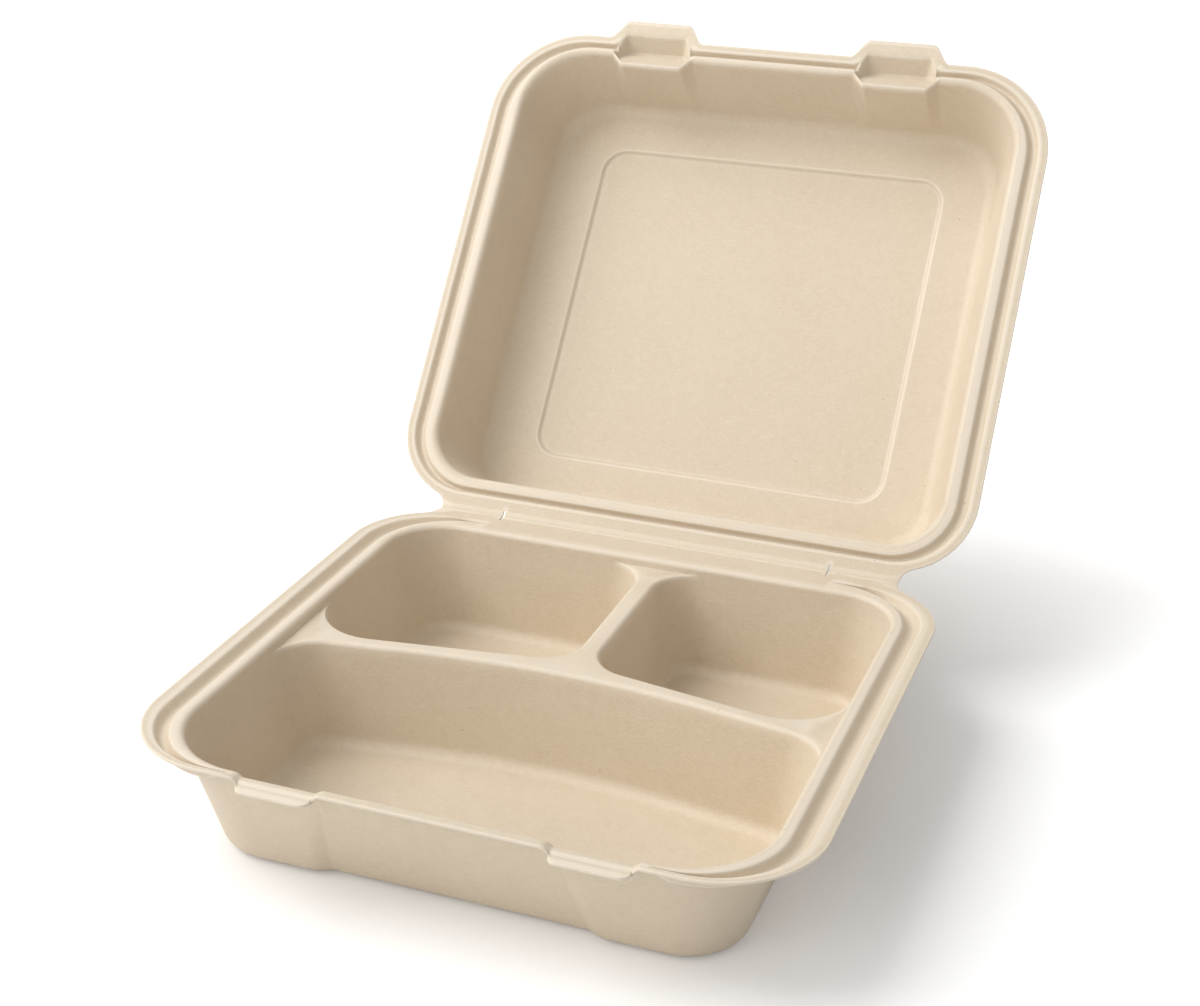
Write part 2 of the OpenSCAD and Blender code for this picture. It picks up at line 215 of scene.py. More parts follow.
def inset(loop: Array, distance: float) -> Array:
    """Returns a closed loop moved inwards by a small distance."""
    after = np.roll(loop, -1, axis=0) - loop
    after /= np.linalg.norm(after, axis=1)[:, None] + 1e-9
    normal = turned(after + np.roll(after, 1, axis=0))
    normal /= np.linalg.norm(normal, axis=1)[:, None] + 1e-9
    return loop + normal * distance


def along(path: Array, count: int) -> Array:
    """Returns a number of evenly spaced points along a path, ends included."""
    steps = np.linalg.norm(np.diff(path, axis=0), axis=1)
    travel = np.concatenate([[0.0], np.cumsum(steps)])
    places = np.linspace(0.0, travel[-1], count)
    return np.stack([np.interp(places, travel, path[:, k]) for k in (0, 1)], axis=1)


def inside(points: Array, loop: Array) -> Array:
    """Tells which points lie inside a closed loop.

    Args:
        points: Plan points to test.
        loop: Corners of the loop.

    Returns:
        One truth value for each point.
    """
    found = np.zeros(len(points), bool)
    x, y = points[:, 0], points[:, 1]
    for a, b in zip(loop, np.roll(loop, -1, axis=0)):
        spans = (a[1] > y) != (b[1] > y)
        if spans.any():
            crossing = a[0] + (y - a[1]) * (b[0] - a[0]) / (b[1] - a[1] + 1e-12)
            found ^= spans & (x < crossing)
    return found


# Pressed walls


def wall_shift(wall: Wall, z: float, bottom_z: float, bottom_r: float) -> float:
    """Tells how far a sloping wall lies inside its outline at one height.

    Args:
        wall: Slope in degrees and height of the wall's top.
        z: Height to look at.
        bottom_z: Height of the floor.
        bottom_r: Radius between the wall and the floor.

    Returns:
        The inward shift.
    """
    slope = math.radians(wall[0])
    centre_z = bottom_z + bottom_r
    drop = centre_z - z
    if drop > bottom_r * math.sin(slope):
        centre = (wall[1] - centre_z) * math.tan(slope) + bottom_r / math.cos(slope)
        return centre - math.sqrt(max(0.0, bottom_r * bottom_r - drop * drop))
    return (wall[1] - z) * math.tan(slope)


def edge_flare(wall: Wall, z: float, radius: float) -> float:
    """Returns the extra width that a wall's rounded top edge gives at one height."""
    rise = min(radius, max(0.0, z - wall[1] + radius))
    return radius - math.sqrt(radius * radius - rise * rise)


def quarter(count: int) -> Array:
    """Returns angles from 90 degrees down to 0, in radians."""
    return np.radians(np.linspace(90.0, 0.0, count))


def edge_levels(top_z: float, radius: float) -> list[float]:
    """Returns the heights of the rings on a wall's rounded top edge, from the top down."""
    return [top_z - radius * (1.0 - math.sin(angle)) for angle in quarter(7)]


def fold_levels(floor_z: float, radius: float) -> list[float]:
    """Returns the heights of the rings on the fold between a wall and its floor."""
    return [floor_z + radius * (1.0 - math.sin(angle)) for angle in np.radians(range(10, 91, 10))]


def area_vector(corners: Array) -> Array:
    """Returns a face's normal, as long as twice the face's area."""
    total = np.zeros(3)
    for k in range(1, len(corners) - 1):
        total += np.cross(corners[k] - corners[0], corners[k + 1] - corners[0])
    return total


# Pressed sheets


class Sheet:
    """A thin pressed sheet, drawn by its upper face and then given its thickness."""

    def __init__(self, name: str) -> None:
        """Starts an empty sheet with the name of its piece."""
        self.name = name
        self.points: list[Array] = []
        self.faces: list[tuple[int, ...]] = []
        self.count = 0

    def ring(self, loop: Array, z: Array | float) -> Array:
        """Adds a ring of points.

        Args:
            loop: Plan points.
            z: One height, or one for each point.

        Returns:
            The new points' numbers.
        """
        heights = np.broadcast_to(np.asarray(z, float), (len(loop),))
        self.points.append(np.column_stack([loop, heights]))
        ids = np.arange(self.count, self.count + len(loop))
        self.count += len(loop)
        return ids

    def bridge(self, outer: Array, inner: Array, closed: bool = True) -> None:
        """Joins two rings of the same count with a band of four-sided faces."""
        last = len(outer) if closed else len(outer) - 1
        for i in range(last):
            j = (i + 1) % len(outer)
            self.faces.append((int(outer[i]), int(outer[j]), int(inner[j]), int(inner[i])))

    def bands(self, rings: Sequence[Array]) -> None:
        """Joins a row of rings, from the outermost to the innermost."""
        for outer, inner in zip(rings, rings[1:]):
            self.bridge(outer, inner)

    def fill(self, ring: Array, shares: Sequence[float] = (0.94, 0.8, 0.6, 0.4, 0.2)) -> None:
        """Closes a convex ring with smaller rings and a middle point."""
        points = np.concatenate(self.points)
        rim = points[ring]
        middle = (rim.min(axis=0) + rim.max(axis=0)) / 2.0
        rings = [ring]
        for share in shares:
            place = middle + (rim - middle) * share
            rings.append(self.ring(place[:, :2], place[:, 2]))
        self.bands(rings)
        hub = int(self.ring(middle[None, :2], middle[2])[0])
        last = rings[-1]
        for a, b in zip(last, np.roll(last, -1)):
            self.faces.append((int(a), int(b), hub))

    def web(self, outer: Array, holes: Sequence[Array]) -> None:
        """Fills the flat between an outer ring and the rings that lie inside it.

        Args:
            outer: Numbers of the outer ring's points.
            holes: Numbers of the inner rings' points.
        """
        points = np.concatenate(self.points)
        loops = [outer, *holes]
        ids = np.concatenate(loops)
        plan = points[ids][:, :2]
        edges = []
        start = 0
        for loop in loops:
            edges += [(start + k, start + (k + 1) % len(loop)) for k in range(len(loop))]
            start += len(loop)
        verts, _, tris, origin, _, _ = delaunay_2d_cdt(
            [Vector(p) for p in plan], edges, [], 0, 1e-6, True
        )
        centres = np.array([np.mean([verts[v] for v in t], axis=0) for t in tris])
        keep = inside(centres, points[outer][:, :2])
        for hole in holes:
            keep &= ~inside(centres, points[hole][:, :2])
        for tri, kept in zip(tris, keep):
            if kept:
                corners = tuple(int(ids[origin[v][0]]) for v in tri)
                a, b, c = points[list(corners)][:, :2]
                self.faces.append(corners if crossed(b - a, c - a) > 0 else corners[::-1])

    def normals(self, points: Array) -> Array:
        """Returns each point's normal, weighted by the areas of its faces."""
        total = np.zeros_like(points)
        for face in self.faces:
            normal = area_vector(points[list(face)])
            for v in face:
                total[v] += normal
        return total / (np.linalg.norm(total, axis=1)[:, None] + 1e-12)

    def build(
        self,
        thickness: Array | float,
        rim: dict[int, float],
        place: Callable[[Array], Array],
        cut: Callable[[Array], Array] | None = None,
    ) -> bpy.types.Object:
        """Gives the sheet its thickness and makes the object.

        Args:
            thickness: Wall thickness, for the whole sheet or for each point.
            rim: Points whose lower side lies straight below them, and how far.
            place: Takes points from the sheet's own frame to the row frame.
            cut: Tells from their centres which faces to leave out.

        Returns:
            The new object, its sizes in metres.
        """
        top = np.concatenate(self.points)
        if cut is not None:
            centres = np.array([top[list(f)].mean(axis=0) for f in self.faces])
            self.faces = [f for f, gone in zip(self.faces, cut(centres)) if not gone]
        normal = self.normals(top)
        depth = np.broadcast_to(np.asarray(thickness, float), (len(top),))
        bottom = top - normal * depth[:, None]
        for v, drop in rim.items():
            bottom[v] = top[v] - np.array([0.0, 0.0, drop])
        n = len(top)
        faces = list(self.faces) + [tuple(v + n for v in f[::-1]) for f in self.faces]
        used = set()
        for face in self.faces:
            used.update(zip(face, face[1:] + face[:1]))
        for a, b in used:
            if (b, a) not in used:
                faces.append((b, a, a + n, b + n))
        points = np.concatenate([top, bottom])
        bend = self.bend(points, faces)
        mesh = bpy.data.meshes.new(self.name)
        mesh.from_pydata((place(points) * MM).tolist(), [], faces)
        mesh.validate()
        mesh.update()
        # The bend is stored for the material, which paints highlights on the folds from it.
        crest = mesh.attributes.new("crest", "FLOAT", "POINT")
        crest.data.foreach_set("value", bend.astype(np.float32))
        mesh.shade_smooth()
        mesh.set_sharp_from_angle(angle=math.radians(SHARP_ANGLE))
        piece = bpy.data.objects.new(self.name, mesh)
        bpy.context.scene.collection.objects.link(piece)
        return piece

    @staticmethod
    def bend(points: Array, faces: Sequence[tuple[int, ...]]) -> Array:
        """Measures how sharply the surface turns outwards at each point.

        Args:
            points: All points of the closed sheet.
            faces: All its faces.

        Returns:
            Positive values on outward folds and negative ones in inward folds.
        """
        normal = np.zeros_like(points)
        edges = set()
        for face in faces:
            area = area_vector(points[list(face)])
            for a, b in zip(face, face[1:] + face[:1]):
                normal[a] += area
                edges.add((min(a, b), max(a, b)))
        normal /= np.linalg.norm(normal, axis=1)[:, None] + 1e-12
        pairs = np.array(sorted(edges))
        run = points[pairs[:, 1]] - points[pairs[:, 0]]
        length = np.linalg.norm(run, axis=1)
        turn = ((normal[pairs[:, 1]] - normal[pairs[:, 0]]) * run).sum(axis=1)
        turn /= length * length + 1e-6
        weight = 1.0 / (length + 0.05)
        total = np.zeros(len(points))
        share = np.zeros(len(points))
        for side in (0, 1):
            np.add.at(total, pairs[:, side], turn * weight)
            np.add.at(share, pairs[:, side], weight)
        return np.clip(total / (share + 1e-9), -1.5, 1.5)


@dataclass
class Groove:
    """The channel pressed into a rim, and how it is sampled across its width."""

    depth: float
    width: float
    bottom_w: float
    shares: tuple[float, ...] = (
        0.0, 0.04, 0.1, 0.18, 0.28, 0.38, 0.45, 0.5, 0.55, 0.62, 0.72, 0.82, 0.9, 0.96, 1.0,
    )

    def profile(self, share: float, width: Array) -> Array:
        """Gives the groove's depth at one share of its width.

        Args:
            share: Place across the groove, from 0 to 1.
            width: The groove's width at each point of the ring.

        Returns:
            The depth below the rim at each point.
        """
        flat = self.bottom_w / self.width
        inward = (1.0 - abs(2.0 * share - 1.0)) / (1.0 - flat)
        soft = 0.14
        if inward < 2.0 * soft:
            level = inward * inward / (4.0 * soft)
        elif inward > 1.0:
            level = 1.0 - soft / 2.0
        else:
            level = inward - soft
            over = max(0.0, inward - (1.0 - soft))
            level -= over * over / (2.0 * soft)
        level = min(1.0, level / (1.0 - soft * 1.5))
        room = np.clip((width - self.bottom_w) / (self.width - self.bottom_w), 0.0, 1.0)
        return self.depth * level * smooth(room * 1.15)


@dataclass
class Hinge:
    """The flat strip that runs from a rim to the crease, with its rounded necks."""

    rim_w: float
    corner_r: float
    reach: float = 4.0
    crease_w: float = 188.0
    gap: float = 0.25
    slit_x: float = 67.0
    slit_w: float = 0.8
    wall: float = 0.6

    def path(self, corner_arc: Array, last_x: float) -> Array:
        """Draws one end of the strip's outline, from the rim's side to the crease.

        Args:
            corner_arc: The rim's rounded corner at positive x, from its side to the crease.
            last_x: Place along the crease at which the path ends.

        Returns:
            The plan points, with the crease on the line y = 0 and the rim at positive y.
        """
        corner_x = self.rim_w / 2.0 - self.corner_r
        corner_y = self.reach + self.corner_r
        run = self.crease_w / 2.0 - corner_x
        neck_r = (run**2 + corner_y**2 - self.corner_r**2) / (2.0 * (self.corner_r - run))
        neck_x = self.crease_w / 2.0 + neck_r
        meet = math.atan2(corner_y, corner_x - neck_x)
        meet_y = neck_r * math.sin(meet)
        kept = corner_arc[corner_arc[:, 1] > meet_y]
        angles = np.linspace(meet, math.pi, 9)
        neck = np.stack([neck_x + neck_r * np.cos(angles), neck_r * np.sin(angles)], axis=1)
        neck[:, 1] = np.maximum(neck[:, 1], self.gap)
        first = along(np.concatenate([kept, neck[:1]]), 11)
        crease = np.array([[self.crease_w / 2.0, self.gap], [last_x, self.gap]])
        rest = len(corner_arc) - len(first)
        around = along(neck, rest + 1)[1:]
        return np.concatenate([first, around, along(crease, 3)[1:]])

    def places(self, ends: tuple[float, ...]) -> tuple[float, ...]:
        """Returns the x places along the crease, with one at each side of each slit."""
        half = self.slit_w / 2.0
        right = [3.0 * k for k in range(22)]
        right += [65.0, self.slit_x - half, self.slit_x + half, *ends]
        return tuple(sorted({-x for x in right} | set(right)))

    def in_slit(self, x: Array) -> Array:
        """Tells which places along the crease lie in a slit."""
        return np.abs(np.abs(x) - self.slit_x) < self.slit_w / 2.0


@dataclass
class Tray:
    """The lower half: a rim, a shared mouth and three compartments."""

    wall: float = 1.1
    front_r: float = 35.0
    back_r: float = 32.0
    rim_side_w: float = 15.5
    rim_front_w: float = 4.5
    rim_back_w: float = 11.5
    lip_w: float = 4.5
    front_lip_w: float = 1.9
    groove_inner_r: float = 30.0
    land_drop: float = 3.5
    divider_side_y: float = 95.0
    divider_mid_y: float = 110.5
    arch_r: float = 350.0
    divider_w: float = 6.2
    back_divider_w: float = 7.5
    back_divider_x: float = 3.5
    floor_r: float = 5.0
    edge_r: float = 1.6
    front_corner_r: float = 30.0
    back_corner_r: float = 22.0
    divider_front_r: float = 18.0
    divider_back_r: float = 23.0
    divider_mid_r: float = 15.0
    side_slope: float = 14.0
    front_slope: float = 19.0
    middle_slope: float = 22.5
    back_slope: float = 8.0
    divider_slope: float = 8.0
    step_x: float = 40.0
    step_slope: float = 11.0
    step_blend: float = 4.2
    tab_x: float = 52.0
    tab_w: float = 26.0
    tab_reach: float = 3.5
    tab_notch_h: float = 1.5
    tab_step_h: float = 0.8
    tab_ramp: float = 3.0
    strip_from: float = 2.8
    facet_top: float = 0.55
    facet_growth: float = 1.15
    facet_power: float = 1.6
    cut_edge: tuple[tuple[float, float, float], ...] = (
        (0.0, 0.38, 0.38), (0.12, 0.12, 0.75), (0.4, 0.0, 1.0),
    )
    cone: float = 0.9
    arc_steps: int = 16
    groove: Groove = field(default_factory=lambda: Groove(2.8, 7.5, 1.0))

    def __post_init__(self) -> None:
        """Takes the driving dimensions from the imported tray."""
        low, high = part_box("tray")
        self.hinge = Hinge(2.0 * high.x / MM, self.back_r)
        self.half_w = high.x / MM
        self.rim_z = high.z / MM
        self.front_y = low.y / MM + self.tab_reach
        self.back_y = high.y / MM + self.hinge.gap - self.hinge.reach
        self.land_z = self.rim_z - self.land_drop
        self.floor_z = self.wall
        self.hollow_x = self.half_w - self.rim_side_w
        self.mouth_front = self.front_y + self.rim_front_w
        self.mouth_back = self.back_y - self.rim_back_w
        self.side_y = self.front_y + self.divider_side_y
        self.mid_y = self.front_y + self.divider_mid_y
        self.sheet = Sheet("tray_shell")

    def front_places(self) -> tuple[float, ...]:
        """Returns the x places along the front, close together at the tabs and steps."""
        half = self.tab_w / 2.0
        places = set(np.round(stations(-33.0, 33.0, 3.0), 3))
        for side in (-1.0, 1.0):
            places.update(np.round(side * np.array(stations(34.0, 67.0, 1.0)), 3))
            for edge in (self.tab_x - half, self.tab_x + half):
                into = math.copysign(1.0, self.tab_x - edge)
                curve = self.tab_reach * (1.0 - np.cos(np.radians([0, 12, 24, 38, 54, 72])))
                places.update(np.round(side * (edge + into * curve), 3))
        ordered = sorted(places)
        kept = [ordered[0]]
        for place in ordered[1:]:
            if place - kept[-1] > 0.07:
                kept.append(place)
        return tuple(kept)

    def side_places(self, low: float, high: float, step: float) -> tuple[float, ...]:
        """Returns y places between two distances from the front lip, about a step apart."""
        return tuple(self.front_y + place for place in stations(low, high, step))

    def rim_outline(self) -> Outline:
        """Returns the outline that the rim's outer rings follow."""
        sides = self.side_places(42.5, 170.5, 4.0)
        return Outline(
            points=(
                (-self.half_w, self.front_y), (self.half_w, self.front_y),
                (self.half_w, self.back_y), (-self.half_w, self.back_y),
            ),
            places=(self.front_places(), sides, self.hinge.places((69.0, 71.0)), sides),
            cone=1.0,
            arcs=(self.arc_steps,) * 4,
            leads=(3, 3, 3, 3),
        )

    def mouth_outline(self) -> Outline:
        """Returns the outline of the mouth above the compartments."""
        rim = self.rim_outline()
        return Outline(
            points=(
                (-self.hollow_x, self.mouth_front), (self.hollow_x, self.mouth_front),
                (self.hollow_x, self.mouth_back), (-self.hollow_x, self.mouth_back),
            ),
            places=rim.places,
            cone=self.cone,
            arcs=rim.arcs,
            leads=rim.leads,
        )

    def notch(self, x: Array) -> Array:
        """Returns how far the rim drops along the front, for the tabs."""
        away = near_tabs(x, self.tab_x)
        return self.tab_notch_h * plateau(away, self.tab_w / 2.0 - 0.6, self.tab_ramp)

    def stepped(self, loop: Array, z: Array | float) -> Array:
        """Sets the middle of the front wall back between its two soft steps.

        Args:
            loop: Ring points that follow the front wall's ends.
            z: Height of each point.

        Returns:
            The moved points.
        """
        heights = np.broadcast_to(np.asarray(z, float), (len(loop),))
        placed = loop.copy()
        x, y = loop[:, 0], loop[:, 1]
        front, middle = (
            np.array([wall_shift((slope, self.rim_z), h, self.floor_z, self.floor_r) for h in heights])
            for slope in (self.front_slope, self.middle_slope)
        )
        step = self.step_x + (self.rim_z - heights) * math.tan(math.radians(self.step_slope))
        growth = self.facet_growth * (self.rim_z - heights) / self.rim_z
        facet = self.step_blend * (self.facet_top + growth)
        into = np.clip(0.5 - (np.abs(x) - step) / facet, 0.0, 1.0)
        share = into**self.facet_power
        on_wall = np.abs(y - self.mouth_front - front) < 0.5
        placed[:, 1] += np.where(on_wall, (middle - front) * share, 0.0)
        return placed

    def lowered(self, loop: Array, z: Array | float) -> Array:
        """Lowers the rim and the top of the front wall at the tabs."""
        heights = np.broadcast_to(np.asarray(z, float), (len(loop),))
        band = smooth((self.mouth_front + 9.0 - loop[:, 1]) / 4.0)
        fade = smooth((heights - (self.rim_z - 8.0)) / 6.5)
        return heights - self.notch(loop[:, 0]) * band * fade

    def outer_edge(self, rim: Outline) -> Array:
        """Draws the outermost loop, with the tabs and the hinge strip."""
        radii = (self.front_r, self.front_r, self.back_r, self.back_r)
        loop = rim.ring((0.0,) * 4, radii)
        away = near_tabs(loop[:, 0], self.tab_x)
        inward = np.clip(self.tab_w / 2.0 - np.abs(away), 0.0, self.tab_reach)
        reach = np.sqrt(self.tab_reach**2 - (self.tab_reach - inward) ** 2)
        front = loop[:, 1] < self.front_y + 0.01
        loop[:, 1] -= np.where(front, reach, 0.0)
        return self.with_hinge(loop, rim)

    def with_hinge(self, loop: Array, rim: Outline) -> Array:
        """Runs the back of a loop out to the crease, by the rounded necks."""
        crease_y = self.back_y + self.hinge.reach
        arc = self.arc_steps + 1
        start = 2 * arc + 2 * 2 + len(rim.places[0]) + 2 * 2 + len(rim.places[1])
        count = arc + 2
        corner = loop[start : start + arc]
        plan = np.stack([corner[:, 0], crease_y - corner[:, 1]], axis=1)
        last = max(rim.places[2])
        end = self.hinge.path(plan, last)
        placed = loop.copy()
        first = slice(start, start + count)
        middle = slice(first.stop, first.stop + len(rim.places[2]))
        other = slice(middle.stop, middle.stop + count)
        placed[first] = np.stack([end[:count, 0], crease_y - end[:count, 1]], axis=1)
        placed[middle, 1] = crease_y - self.hinge.gap
        mirrored = placed[first][::-1].copy()
        mirrored[:, 0] *= -1.0
        placed[other] = mirrored
        return placed

    def rim_rings(self) -> list[Array]:
        """Lays the rings of the rim, from its cut edge to the mouth."""
        rim = self.rim_outline()
        mouth = self.mouth_outline()
        radii = (self.front_r, self.front_r, self.back_r, self.back_r)
        sheet = self.sheet
        edge = self.outer_edge(rim)
        rings = []
        at_tab = near_tabs(edge[:, 0], self.tab_x)
        on_tab = plateau(at_tab, self.tab_w / 2.0, 0.4) * (edge[:, 1] < self.front_y + 0.5)
        self.rim_drop: dict[int, float] = {}
        for distance, z_drop, share in self.cut_edge:
            loop = inset(edge, distance)
            z = self.lowered(edge, self.rim_z - z_drop) - self.tab_step_h * on_tab
            ids = sheet.ring(loop, z)
            depth = np.where(edge[:, 1] > self.back_y + self.strip_from, self.hinge.wall, self.wall)
            self.rim_drop.update({int(v): float(share * d) for v, d in zip(ids, depth)})
            rings.append(ids)
        fold = rim.ring((0.8, 0.8, 0.8, 0.8), radii)
        fold_tab = plateau(near_tabs(fold[:, 0], self.tab_x), self.tab_w / 2.0 - 0.4, 0.8)
        fold_tab = fold_tab * (fold[:, 1] < self.front_y + 1.0)
        in_hinge = fold[:, 1] > self.back_y - 1.0
        in_hinge &= np.abs(fold[:, 0]) < self.hinge.crease_w / 2.0
        step = fold.copy()
        step[:, 1] -= 0.9 * fold_tab
        step[:, 1] += np.where(in_hinge, 2.6, 0.0)
        z = self.lowered(fold, self.rim_z) - self.tab_step_h * fold_tab
        rings.append(sheet.ring(step, z))
        near = fold.copy()
        near[:, 1] += np.where(in_hinge, 1.5, 0.3 * fold_tab)
        near = np.where(in_hinge[:, None], near, inset(near, 0.15))
        z = self.lowered(near, self.rim_z) - np.where(in_hinge, 0.3, 0.0)
        rings.append(sheet.ring(near, z))
        lip = rim.ring((1.4, 1.5, 1.5, 1.5), radii)
        rings.append(sheet.ring(lip, self.lowered(lip, self.rim_z)))
        outer = rim.ring((self.front_lip_w, self.lip_w, self.lip_w, self.lip_w), radii)
        inner_side = self.lip_w + self.groove.width
        inner = replace(rim, cone=0.0).ring(
            (self.front_lip_w + 0.5, inner_side, self.lip_w + 0.7, inner_side),
            (self.groove_inner_r,) * 4,
        )
        width = np.linalg.norm(inner - outer, axis=1)
        for share in self.groove.shares:
            loop = outer + (inner - outer) * share
            z = self.lowered(loop, self.rim_z) - self.groove.profile(share, width)
            rings.append(sheet.ring(loop, z))
        walls = self.mouth_walls()
        mouth_radii = (self.front_corner_r,) * 2 + (self.back_corner_r,) * 2
        for z in (*edge_levels(self.rim_z, self.edge_r), self.land_z + 1.0, self.land_z):
            rings.append(self.wall_ring(mouth, walls, mouth_radii, z))
        sheet.bands(rings)
        return rings

    def mouth_walls(self) -> tuple[Wall, ...]:
        """Returns the slopes and tops of the mouth's walls."""
        return tuple(
            (slope, self.rim_z)
            for slope in (self.front_slope, self.side_slope, self.back_slope, self.side_slope)
        )

    def wall_ring(
        self, outline: Outline, walls: Sequence[Wall], radii: Sequence[float], z: float
    ) -> Array:
        """Lays one ring on the mouth's wall and returns its points' numbers."""
        shifts = [
            wall_shift(w, z, self.floor_z, self.floor_r) - edge_flare(w, z, self.edge_r)
            for w in walls
        ]
        loop = self.stepped(outline.ring(shifts, radii), z)
        return self.sheet.ring(loop, self.lowered(loop, z))

    def compartment(
        self,
        outline: Outline,
        radii: Sequence[float],
        slopes: Sequence[float],
        divides: Sequence[bool],
    ) -> Array:
        """Presses one compartment down from the flat top of the dividers.

        Args:
            outline: The compartment's plan at the rim or at the dividers' top.
            radii: Its corner radii.
            slopes: Slope of each wall, in degrees.
            divides: Tells which walls belong to a divider.

        Returns:
            Numbers of the points of its topmost ring.
        """
        levels = []
        for k, high in enumerate(edge_levels(self.land_z, self.edge_r)):
            low = self.land_z - 0.25 - (self.edge_r - 0.25) * k / 6.0
            levels.append((high, low))
        straight = np.linspace(self.land_z - self.edge_r, self.floor_z + self.floor_r, 9)[1:]
        levels += [(z, z) for z in straight]
        levels += [(z, z) for z in fold_levels(self.floor_z, self.floor_r)]
        share = self.divider_share(outline, divides)
        walls = [
            (slope, self.land_z if divider else self.rim_z)
            for slope, divider in zip(slopes, divides)
        ]
        rings = []
        for high, low in levels:
            shifts = []
            for wall, divider in zip(walls, divides):
                z = high if divider else low
                shift = wall_shift(wall, z, self.floor_z, self.floor_r)
                shifts.append(shift - (edge_flare(wall, z, self.edge_r) if divider else 0.0))
            loop = outline.ring(shifts, radii)
            z = high * share + low * (1.0 - share)
            loop = self.stepped(loop, z)
            rings.append(self.sheet.ring(loop, self.lowered(loop, z)))
        self.sheet.bands(rings)
        self.sheet.fill(rings[-1])
        return rings[0]

    def divider_share(self, outline: Outline, divides: Sequence[bool]) -> Array:
        """Tells how far each ring point belongs to a divider, from 0 to 1."""
        shares = []
        for i, steps in enumerate(outline.arcs):
            before, after = float(divides[i - 1]), float(divides[i])
            shares.append(before + (after - before) * smooth(np.arange(steps + 1) / steps))
            edge = len(outline.places[i]) + 2 * (outline.leads[i] - 1)
            shares.append(np.full(edge, after))
        return np.concatenate(shares)

    def back_edge(self, x: float) -> float:
        """Returns where the back compartments' front edge crosses a place x."""
        fall = (self.mid_y - self.side_y) / self.hollow_x
        return self.mid_y + self.divider_w - fall * abs(x)

    def compartments(self) -> list[Array]:
        """Presses the three compartments and returns their topmost rings."""
        side = self.side_slope
        arc = self.arc_steps
        front = Outline(
            points=(
                (-self.hollow_x, self.mouth_front), (self.hollow_x, self.mouth_front),
                (self.hollow_x, self.side_y), (0.0, self.mid_y), (-self.hollow_x, self.side_y),
            ),
            places=(
                self.front_places(), self.side_places(42.5, 74.5, 4.0), (60.0, 66.0, 72.0),
                (-72.0, -66.0, -60.0), self.side_places(42.5, 74.5, 4.0),
            ),
            cone=self.cone,
            arcs=(arc, arc, arc, 30, arc),
            leads=(3, 3, 3, 3, 3),
        )
        front_top = self.compartment(
            front,
            (self.front_corner_r, self.front_corner_r, self.divider_front_r, self.arch_r,
             self.divider_front_r),
            (self.front_slope, side, self.divider_slope, self.divider_slope, side),
            (False, False, True, True, False),
        )
        left_x = self.back_divider_x - self.back_divider_w / 2.0
        right_x = self.back_divider_x + self.back_divider_w / 2.0
        divider = self.side_places(137.5, 175.5, 8.0)
        sides = self.side_places(132.5, 172.5, 6.0)
        left = Outline(
            points=(
                (-self.hollow_x, self.back_edge(self.hollow_x)), (left_x, self.back_edge(left_x)),
                (left_x, self.mouth_back), (-self.hollow_x, self.mouth_back),
            ),
            places=(
                tuple(stations(-68.0, -20.0, 6.0)), divider, tuple(stations(-72.0, -20.0, 4.0)), sides,
            ),
            cone=self.cone,
            arcs=(arc,) * 4,
            leads=(3,) * 4,
        )
        right = Outline(
            points=(
                (right_x, self.back_edge(right_x)), (self.hollow_x, self.back_edge(self.hollow_x)),
                (self.hollow_x, self.mouth_back), (right_x, self.mouth_back),
            ),
            places=(
                tuple(stations(27.0, 68.0, 6.0)), sides, tuple(stations(27.0, 72.0, 4.0)), divider,
            ),
            cone=self.cone,
            arcs=(arc,) * 4,
            leads=(3,) * 4,
        )
        wall = self.divider_slope
        left_top = self.compartment(
            left,
            (self.divider_back_r, self.divider_mid_r, self.divider_mid_r, self.back_corner_r),
            (wall, wall, self.back_slope, side),
            (True, True, False, False),
        )
        right_top = self.compartment(
            right,
            (self.divider_mid_r, self.divider_back_r, self.back_corner_r, self.divider_mid_r),
            (wall, side, self.back_slope, wall),
            (True, False, False, True),
        )
        return [front_top, left_top, right_top]

    def make(self) -> bpy.types.Object:
        """Builds the tray's sheet."""
        rings = self.rim_rings()
        tops = self.compartments()
        self.sheet.web(rings[-1], tops)
        points = np.concatenate(self.sheet.points)
        thin = points[:, 1] > self.back_y + self.strip_from
        thickness = np.where(thin, self.hinge.wall, self.wall)

        def in_slit(centres: Array) -> Array:
            """Tells which faces lie in the slits across the crease."""
            return self.hinge.in_slit(centres[:, 0]) & (centres[:, 1] > self.back_y - 0.2)

        piece = self.sheet.build(thickness, self.rim_drop, lambda p: p, in_slit)
        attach(piece, Body.TRAY.value)
        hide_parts("tray")
        return piece


